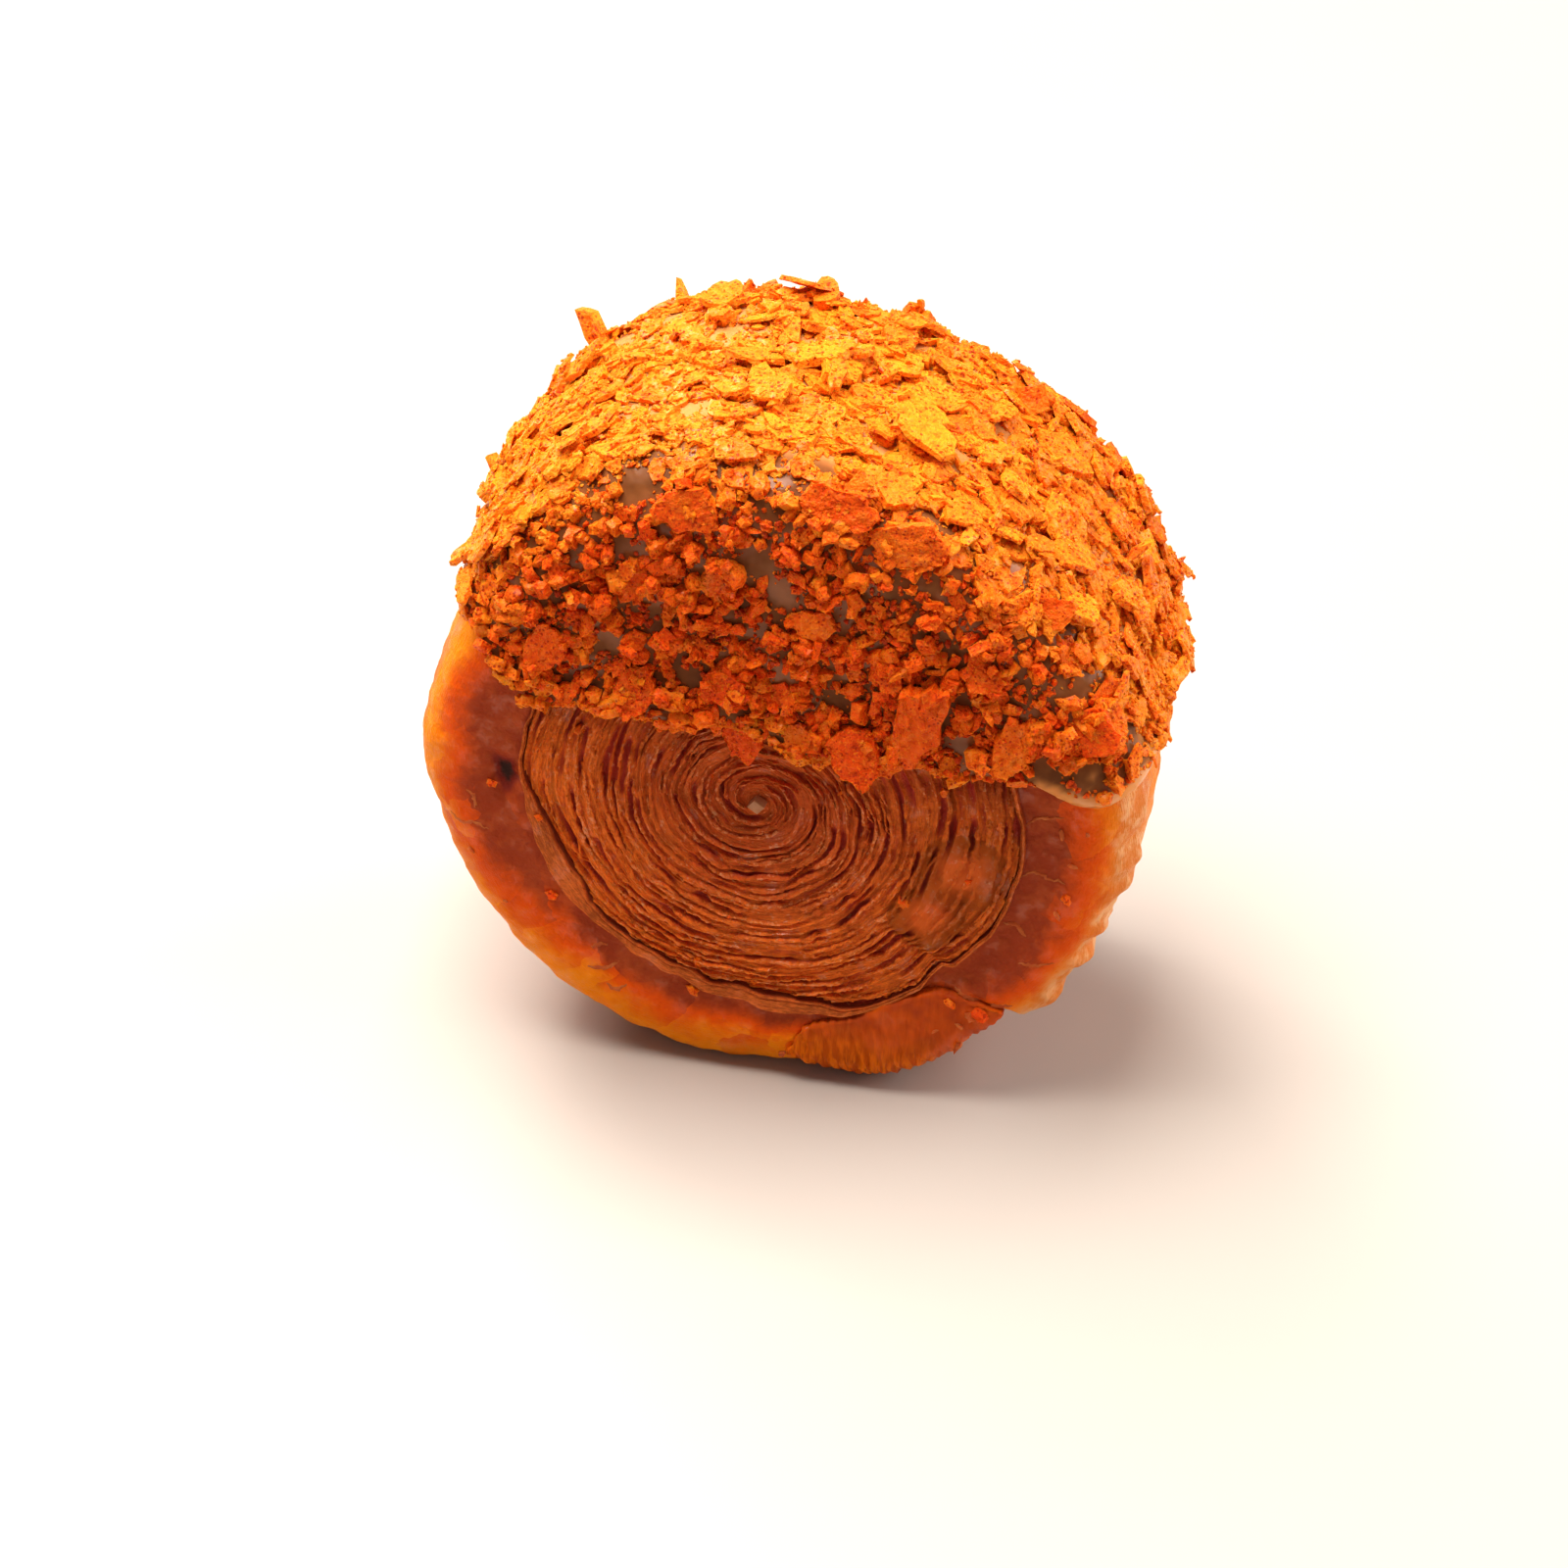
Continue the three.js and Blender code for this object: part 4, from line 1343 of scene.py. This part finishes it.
def slab_shape(random):
    """A large bit of wafer one unit across: a grid broken along straight lines, thickened and roughened."""
    deselect()
    bpy.ops.mesh.primitive_grid_add(x_subdivisions=15, y_subdivisions=15, size=1.2)
    piece = bpy.context.object
    points = read_points(piece.data)
    points[:, :2] += random.normal(0, 0.012, (len(points), 2))
    write_points(piece.data, points)
    bpy.ops.object.mode_set(mode="EDIT")
    for turn in np.linspace(0, 2 * np.pi, 8, endpoint=False) + random.uniform(-0.35, 0.35, 8):
        way = Vector((math.cos(turn), math.sin(turn), 0))
        bpy.ops.mesh.select_all(action="SELECT")
        bpy.ops.mesh.bisect(plane_co=random.uniform(0.36, 0.54) * way, plane_no=way, clear_outer=True)
    bpy.ops.mesh.select_all(action="SELECT")
    bpy.ops.mesh.remove_doubles(threshold=0.015)
    bpy.ops.mesh.extrude_region_move(TRANSFORM_OT_translate={"value": (0, 0, 0.13)})
    face_outwards()
    points = read_points(piece.data)
    share = np.arctan2(points[:, 1], points[:, 0]) / (2 * np.pi) % 1
    lane = np.zeros(len(points), int)
    for waves, depth in ((5, 0.16), (13, 0.1), (37, 0.06)):
        points[:, :2] *= 1 + depth * Ripple(random, 1, waves)(lane, waves * share)[:, None]
    points += random.normal(0, 1, points.shape) * (0.018, 0.018, 0.014)
    bow = random.uniform(-0.15, 0.2) * points[:, 0] ** 2 + random.uniform(-0.1, 0.1) * points[:, 1] ** 2
    points[:, 2] += bow - 0.05
    write_points(piece.data, points)
    return take_shape()


def grain_shape(random):
    """A crumb of wafer one unit across."""
    deselect()
    bpy.ops.mesh.primitive_uv_sphere_add(segments=5, ring_count=3, radius=0.5)
    piece = bpy.context.object
    points = read_points(piece.data)
    points *= random.uniform(0.6, 1.15, (len(points), 1))
    points *= random.uniform((0.8, 0.5, 0.4), (1.2, 0.9, 0.7))
    write_points(piece.data, points)
    return take_shape()


def wafer_material(coat):
    material, start = new_material("wafer")
    tone = start.attribute("tone", "Fac")
    place = start.object_place()
    cloud = place.noise(350, 2, 0.5)
    lumps = place.noise(850, 2, 0.6)
    grain = place.noise(2200, 2, 0.65)
    pores = start.node(
        "ShaderNodeTexVoronoi", None, {"Vector": place, "Scale": 1400.0, "Randomness": 1.0}, "Distance"
    )
    # Painted shade: dark dots stand in for the wafer's pinholes
    pit_shade = (pores + 0.4 * (grain - 0.5) + 0.7 * (cloud - 0.5)).ramp(0.31, 0.18)
    colour = (tone + 0.4 * (cloud - 0.5) + 0.5 * (lumps - 0.5)).ramp(0.0, 1.0).blend(
        opaque(coat.wafer_colour), opaque(coat.pale_wafer_colour)
    )
    colour = (0.4 * lumps.ramp(0.48, 0.3)).blend(colour, opaque(coat.wafer_colour, 0.8))
    # Soaked wafer: partly glaze, partly painted shade between the crumbs on the faces
    colour = (tone + 0.5 * (lumps - 0.5)).ramp(0.05, -0.35).blend(colour, opaque(coat.soaked_shade_colour))
    colour = (0.4 * grain.ramp(0.55, 0.7)).blend(colour, opaque(coat.pale_wafer_colour))
    colour = (0.85 * pit_shade).blend(colour, opaque(coat.pit_shade_colour))
    finish_material(start, {
        "Base Color": colour,
        "Roughness": 0.32 + 0.3 * grain,
        "Specular IOR Level": 0.08,
        "Subsurface Weight": 0.35,
        "Subsurface Radius": (1.0, 0.3, 0.08),
        "Subsurface Scale": 0.0015,
        "Coat Weight": 0.6 * tone * lumps.ramp(0.5, 0.62),
        "Coat Roughness": 0.3,
        "Normal": bump(start, lumps + 0.4 * grain, 0.001, 0.8),
    })
    return material


class Ground:
    """Places on the outside of the glaze to put flakes on, drawn at random by area."""

    def __init__(self, glaze, roll, coat, random):
        self.roll = roll
        self.coat = coat
        self.random = random
        self.bare = MM * np.array(BARE_SPOTS)
        mesh = glaze.data
        mesh.calc_loop_triangles()
        corners = np.empty(len(mesh.loop_triangles) * 3, int)
        mesh.loop_triangles.foreach_get("vertices", corners)
        self.triangles = read_points(mesh)[corners.reshape(-1, 3)]
        first, second, third = self.triangles.transpose(1, 0, 2)
        cross = np.cross(second - first, third - first)
        area = np.linalg.norm(cross, axis=1)
        self.normals = cross / np.maximum(area, 1e-12)[:, None]
        middle = self.triangles.mean(1) - (0, 0, roll.axis_height)
        outward = np.stack([middle[:, 0], np.zeros(len(middle)), middle[:, 2]], 1)
        outward /= np.linalg.norm(outward, axis=1)[:, None]
        face = np.stack([0 * area, np.sign(middle[:, 1]), 0 * area], 1)
        outside = np.maximum((self.normals * outward).sum(1), (self.normals * face).sum(1)) > 0.2
        self.chance = area * outside
        self.chance /= self.chance.sum()
        self.tree = surface_tree(mesh)

    def draw(self):
        """A place, and the way out of the glaze there."""
        pick = self.random.choice(len(self.chance), p=self.chance)
        first, second = self.random.random(2)
        if first + second > 1:
            first, second = 1 - first, 1 - second
        a, b, c = self.triangles[pick]
        return a + first * (b - a) + second * (c - a), self.normals[pick]

    def free(self, place, size, margin):
        """Whether a flake fits at a place: over the dip line by a share of its size, off the bare spots."""
        line = dip_line(self.coat, place[0], place[1]) + self.roll.axis_height
        line += 2.4 * MM * between(33 * MM, 42 * MM, place[0])
        apart = np.linalg.norm(self.bare[:, :3] - (place - (0, 0, self.roll.axis_height)), axis=1)
        return place[2] > line + margin * size and (apart > self.bare[:, 3] + 0.3 * size).all()


def lay(flakes, place, out, size, lean, turn, below, random, lift=0.04, thick=1.0, slim=1.0, soaked_and_shaded=0.0):
    """Lays a flake on what is uppermost at a place, lifted by a share of its size; tells if it found room."""
    start = Vector(place) + LAY_HEIGHT * out
    hit = first_hit(below, start, -out, LAY_REACH)
    reach = hit[3] if hit else LAY_HEIGHT
    if reach < LAY_ROOM:
        return False
    upright = Vector((0, 0, 1)).rotation_difference((out + lean).normalized())
    scale = Matrix.Diagonal((size, slim * size, thick * size * random.uniform(0.8, 1.2)))
    basis = (upright @ Quaternion((0, 0, 1), turn)).to_matrix() @ scale
    matrix = Matrix.Translation(start - out * (reach - lift * size)) @ basis.to_4x4()
    # Painted light: flakes that face out from the rim are paler, those on the faces darker, the left side
    # paler still; the random part is the wafer's own tone
    bright = math.sqrt(1 - min(1, abs(out.y)))
    paleness_and_light = 0.22 + 0.42 * bright - 0.1 * out.x * bright + 0.09 * random.normal()
    # Grains on the faces are soaked and darkened, partly as painted shade
    flakes.add(random.integers(len(flakes.shapes)), matrix, np.clip(paleness_and_light, 0, 1) - soaked_and_shaded * (1 - bright))
    return True


class Kind:
    """How one kind of flake is strewn: how many, how large, how far apart, how tilted on rim and faces."""

    def __init__(self, flakes, count, sizes, spacing, tilts, margin, face_limit, soaked_and_shaded=0.0):
        self.flakes = flakes
        self.count = count
        self.sizes = sizes
        self.spacing = spacing
        self.tilts = tilts
        self.margin = margin
        self.face_limit = face_limit
        self.soaked_and_shaded = soaked_and_shaded


def strew(ground, kind, share, face_share, below, random, rounds=3):
    """Strews a share of one kind in rounds, the largest first, each round on top of what is there."""
    count = round(share * kind.count)
    places = []
    for batch in range(rounds):
        under = below + ([kind.flakes.tree()] if kind.flakes.points else [])
        tries = 0
        while len(places) < count * (batch + 1) / rounds and tries < 40 * count / rounds:
            tries += 1
            place, normal = ground.draw()
            on_face = abs(normal[1]) > 0.6
            if random.random() > (face_share if on_face else 1.0 - face_share):
                continue
            size = kind.sizes[0] + (kind.sizes[1] - kind.sizes[0]) * (len(places) / count) ** 0.6
            if on_face:
                size = min(size, kind.face_limit * random.uniform(0.7, 1.0))
            if not ground.free(place, size, kind.margin):
                continue
            if kind.spacing and places:
                apart = np.linalg.norm(np.array(places) - place, axis=1).min()
                if apart < kind.spacing * size:
                    continue
            lean = Vector(random.normal(0, kind.tilts[int(on_face)], 3))
            turn = random.uniform(0, 2 * math.pi)
            thick = 1.25 if on_face else 0.7
            out = Vector(normal)
            if lay(kind.flakes, place, out, size, lean, turn, under, random, thick=thick, soaked_and_shaded=kind.soaked_and_shaded):
                places.append(place)


class CROISSANT_OT_flakes(bpy.types.Operator):
    """Presses wafer into the glaze: grains, plates, chunks, shards and crumbs, then a few large slabs"""

    bl_idname = "croissant.flakes"
    bl_label = "Wafer flakes"

    def execute(self, context):
        roll = context.scene.croissant_roll
        coat = context.scene.croissant_coat
        random = np.random.default_rng(coat.seed)
        ground = Ground(bpy.data.objects["caramel_glaze"], roll, coat, random)
        plates = Flakes([wafer_shape(6 + k % 4, 0.11, random.uniform(0.35, 0.9), random) for k in range(18)])
        shards = Flakes([wafer_shape(4 + k % 3, 0.22, random.uniform(0.22, 0.7), random) for k in range(18)])
        chunks = Flakes([wafer_shape(5 + k % 3, 0.28, random.uniform(0.45, 0.95), random) for k in range(18)])
        grains = Flakes([grain_shape(random) for _ in range(8)])
        crumbs = Flakes([grain_shape(random) for _ in range(8)])
        kinds = {
            "wafer_plates": Kind(
                plates, coat.plate_count, (12.0 * MM, 3.4 * MM), 0.42, (0.13, 0.45), 0.3, 5.5 * MM
            ),
            "wafer_chunks": Kind(
                chunks, coat.chunk_count, (5.4 * MM, 2.0 * MM), 0.45, (0.3, 0.7), 0.05, 5.4 * MM
            ),
            "wafer_shards": Kind(
                shards, coat.shard_count, (6.0 * MM, 1.6 * MM), 0.25, (0.2, 0.8), 0.05, 4.6 * MM
            ),
            "wafer_grains": Kind(
                grains, coat.grain_count, (2.4 * MM, 0.8 * MM), 0.0, (0.4, 0.8), 0.25, 1.8 * MM, soaked_and_shaded=0.45
            ),
            "wafer_crumbs": Kind(
                crumbs, coat.crumb_count, (1.1 * MM, 0.5 * MM), 0.0, (0.4, 0.8), 0.4, 1.0 * MM
            ),
        }
        steps = (
            ("wafer_grains", 1.0, 0.5),
            ("wafer_plates", 0.6, 0.1),
            ("wafer_chunks", 1.0, 0.9),
            ("wafer_shards", 1.0, 0.45),
            ("wafer_plates", 0.4, 0.08),
            ("wafer_crumbs", 1.0, 0.4),
        )
        for name, share, face_share in steps:
            below = [ground.tree] + [other.flakes.tree() for other in kinds.values() if other.flakes.points]
            strew(ground, kinds[name], share, face_share, below, random)
        below = [ground.tree, *piece_trees("wound_dough")]
        slabs = self.chosen_slabs(below, grains.tree(), roll, random)
        self.splinters(below, shards, roll, random)
        material = wafer_material(coat)
        for name, kind in kinds.items():
            settle(kind.flakes.piece(), name, material, "coat", COAT_NODE)
        settle(slabs.piece(), "wafer_slabs", material, "coat", COAT_NODE)
        return {"FINISHED"}

    def chosen_slabs(self, below, grains, roll, random):
        """Large slabs on the front face, over the grains."""
        slabs = Flakes([slab_shape(random) for _ in range(12)])
        for x, height, length, breadth, turn in FRONT_SLABS:
            start = Vector((x * MM, -IN_FRONT, roll.axis_height + height * MM))
            place, normal = self.surface(below, start, Vector((0, 1, 0)))
            out = (Vector((0, -1, 0)) + 0.35 * normal).normalized()
            lean = Vector(random.normal(0, 0.12, 3)) + Vector((0, 0, 0.15))
            size = 1.15 * length * MM
            under = [*below, grains]
            shape = {"lift": 0.12, "slim": breadth / length, "soaked_and_shaded": 0.04}
            if not lay(slabs, place, out, size, lean, math.radians(turn), under, random, **shape):
                raise RuntimeError("a chosen slab has no room")
        return slabs

    def splinters(self, below, shards, roll, random):
        """Shards that stand up from the rim."""
        for angle, y, size, lean in SPLINTERS:
            out = Vector((math.cos(math.radians(angle)), 0, math.sin(math.radians(angle))))
            place, _ = self.surface(below, Vector((0, y * MM, roll.axis_height)) + 80 * MM * out, -out)
            sideways = math.tan(math.radians(lean)) * Vector((0, -1, 0))
            flat = Vector((0, 0, 1)).rotation_difference((out + sideways).normalized())
            level = flat.inverted() @ out
            turn = math.atan2(level.y, level.x)
            lay(shards, place + 0.3 * size * MM * out, out, 1.3 * size * MM, sideways, turn, [], random)

    def surface(self, below, start, way):
        """The first place that a ray meets, and the way out there."""
        hit = first_hit(below, start, way)
        if not hit:
            raise RuntimeError("a chosen flake has nothing to lie on")
        return hit[0], hit[1]


def sugar_material(roll):
    material, start = new_material("sugar")
    cloud = start.object_place().noise(1500, 2, 0.5)
    finish_material(start, {
        "Base Color": cloud.blend(opaque(roll.sugar_colour), opaque(roll.pale_sugar_colour)),
        "Roughness": 0.25 + 0.2 * cloud,
        "Specular IOR Level": 0.2,
        "Subsurface Weight": 0.3,
        "Subsurface Radius": (1, 0.7, 0.4),
        "Subsurface Scale": 0.001,
    })
    return material


class CROISSANT_OT_crumbs(bpy.types.Operator):
    """Puts loose crumbs and one sugar crystal on the bare front face"""

    bl_idname = "croissant.crumbs"
    bl_label = "Loose crumbs"

    def execute(self, context):
        roll = context.scene.croissant_roll
        coat = context.scene.croissant_coat
        random = np.random.default_rng(coat.seed + 1)
        below = piece_trees("wound_dough", "strip_end")
        crumbs = Flakes([wafer_shape(5, 0.4, 0.7, random) for _ in range(6)])
        out = Vector((0, -1, 0))
        for x, height, size in LOOSE_CRUMBS:
            place = Vector((x * MM, -roll.depth / 2, roll.axis_height + height * MM))
            lean = Vector(random.normal(0, 0.4, 3))
            if not lay(crumbs, place, out, 1.2 * size * MM, lean, random.uniform(0, 6), below, random, 0.15):
                raise RuntimeError("a loose crumb has nothing to lie on")
        settle(crumbs.piece(), "loose_crumbs", bpy.data.materials["wafer"], "coat", COAT_NODE)
        self.crystal(context, roll, below)
        return {"FINISHED"}

    def crystal(self, context, roll, below):
        """A broken grain of pale sugar in the middle of the winding."""
        start = Vector((-2.0 * MM, -IN_FRONT, roll.axis_height - 3.4 * MM))
        hit = first_hit(below, start, Vector((0, 1, 0)))
        if not hit:
            raise RuntimeError("the sugar crystal has nothing to lie on")
        deselect()
        bpy.ops.mesh.primitive_cube_add(size=1.8 * MM)
        piece = context.object
        edit_all()
        bpy.ops.transform.resize(value=(1.0, 0.75, 1.15))
        bpy.ops.mesh.bevel(offset=0.12 * MM, segments=2, affect="EDGES")
        bpy.ops.object.mode_set(mode="OBJECT")
        turn = Matrix.Rotation(0.6, 4, "Y") @ Matrix.Rotation(0.3, 4, "X")
        piece.data.transform(Matrix.Translation(hit[0] + Vector((0, -0.75 * MM, 0))) @ turn)
        bpy.ops.object.shade_smooth_by_angle(angle=CRYSTAL_SMOOTHING)
        settle(piece, "sugar_crystal", sugar_material(roll), "pastry", ROLL_NODE)


def look(place, aim, roll=0.0):
    """Turn of a camera or light at a place, towards an aim, tilted about its own axis."""
    turn = (Vector(aim) - Vector(place)).to_track_quat("-Z", "Y")
    return (turn @ Quaternion((0, 0, 1), roll)).to_euler()


class CROISSANT_OT_stage(bpy.types.Operator):
    """Sets up the pale floor, the soft lights and the camera"""

    bl_idname = "croissant.stage"
    bl_label = "Stage"

    def execute(self, context):
        stage = context.scene.croissant_stage
        centre = Vector((0, 0, context.scene.croissant_roll.axis_height))
        self.floor(stage)
        self.lights(context, stage, centre)
        self.camera(context, stage, centre)
        context.scene.view_settings.view_transform = "Standard"
        return {"FINISHED"}

    def floor(self, stage):
        deselect()
        bpy.ops.mesh.primitive_plane_add(size=6)
        floor = bpy.context.object
        floor.name = "floor"
        material, start = new_material("pale_floor")
        cloud = start.object_place().noise(30, 2, 0.5)
        finish_material(start, {"Base Color": opaque(stage.floor_colour), "Roughness": 0.45 + 0.1 * cloud})
        dress(floor, material)

    def lights(self, context, stage, centre):
        lamps = (
            ("key", (-0.3, 0.02, 1.06), 0.85, stage.key_power, (1.0, 0.95, 0.88)),
            ("fill", (-0.2, -1.1, 0.5), 0.9, stage.fill_power, (1.0, 0.95, 0.9)),
            ("side", (1.0, 0.3, 0.6), 1.1, stage.side_power, (1.0, 0.95, 0.9)),
            ("back", (-0.6, 0.65, 0.75), 0.6, stage.back_power, (1.0, 0.95, 0.9)),
        )
        for name, offset, size, power, colour in lamps:
            place = centre + Vector(offset)
            bpy.ops.object.light_add(type="AREA", radius=size, location=place, rotation=look(place, centre))
            lamp = context.object
            lamp.name = name
            lamp.data.energy = power
            lamp.data.color = colour
        world = bpy.data.worlds.new("soft_room")
        world.use_nodes = True
        sky = world.node_tree.nodes["Background"]
        sky.inputs["Color"].default_value = (1.0, 0.96, 0.92, 1)
        sky.inputs["Strength"].default_value = 0.15
        context.scene.world = world

    def camera(self, context, stage, centre):
        level = math.cos(stage.elevation)
        back = Vector((
            math.sin(stage.azimuth) * level, -math.cos(stage.azimuth) * level, math.sin(stage.elevation)
        ))
        right = Vector((math.cos(stage.azimuth), math.sin(stage.azimuth), 0))
        up = back.cross(right)
        picture_right = math.cos(stage.roll) * right + math.sin(stage.roll) * up
        picture_up = math.cos(stage.roll) * up - math.sin(stage.roll) * right
        place = centre + stage.distance * back
        aim = centre + stage.aim_right * picture_right + stage.aim_up * picture_up
        bpy.ops.object.camera_add(location=place, rotation=look(place, aim, stage.roll))
        camera = context.object
        camera.data.sensor_width = stage.sensor
        camera.data.lens = stage.lens
        context.scene.camera = camera


class CROISSANT_PT_sidebar(bpy.types.Panel):
    """Lists the croissant's pieces and sizes"""

    bl_idname = "CROISSANT_PT_sidebar"
    bl_label = "Rolled croissant"
    bl_space_type = "VIEW_3D"
    bl_region_type = "UI"
    bl_category = "Croissant"

    def draw(self, context):
        for operator in OPERATORS:
            self.layout.operator(operator.bl_idname)
        for name in SETTINGS:
            box = self.layout.box()
            for field in getattr(context.scene, name).bl_rna.properties:
                if field.identifier not in {"rna_type", "name"}:
                    box.prop(getattr(context.scene, name), field.identifier)


SETTINGS = {
    "croissant_roll": RollSettings,
    "croissant_coat": CoatSettings,
    "croissant_stage": StageSettings,
}
OPERATORS = (
    CROISSANT_OT_pastry, CROISSANT_OT_sheets, CROISSANT_OT_strip_end, CROISSANT_OT_glaze, CROISSANT_OT_flakes,
    CROISSANT_OT_creases, CROISSANT_OT_crumbs, CROISSANT_OT_stage,
)


def register():
    for name, settings in SETTINGS.items():
        bpy.utils.register_class(settings)
        setattr(bpy.types.Scene, name, PointerProperty(type=settings))
    for operator in OPERATORS:
        bpy.utils.register_class(operator)
    bpy.utils.register_class(CROISSANT_PT_sidebar)


def unregister():
    bpy.utils.unregister_class(CROISSANT_PT_sidebar)
    for operator in reversed(OPERATORS):
        bpy.utils.unregister_class(operator)
    for name, settings in reversed(SETTINGS.items()):
        delattr(bpy.types.Scene, name)
        bpy.utils.unregister_class(settings)


def main():
    register()
    bpy.ops.croissant.pastry()
    bpy.ops.croissant.sheets()
    bpy.ops.croissant.strip_end()
    bpy.ops.croissant.glaze()
    bpy.ops.croissant.flakes()
    bpy.ops.croissant.creases()
    bpy.ops.croissant.crumbs()
    bpy.ops.croissant.stage()


if __name__ == "__main__":
    main()
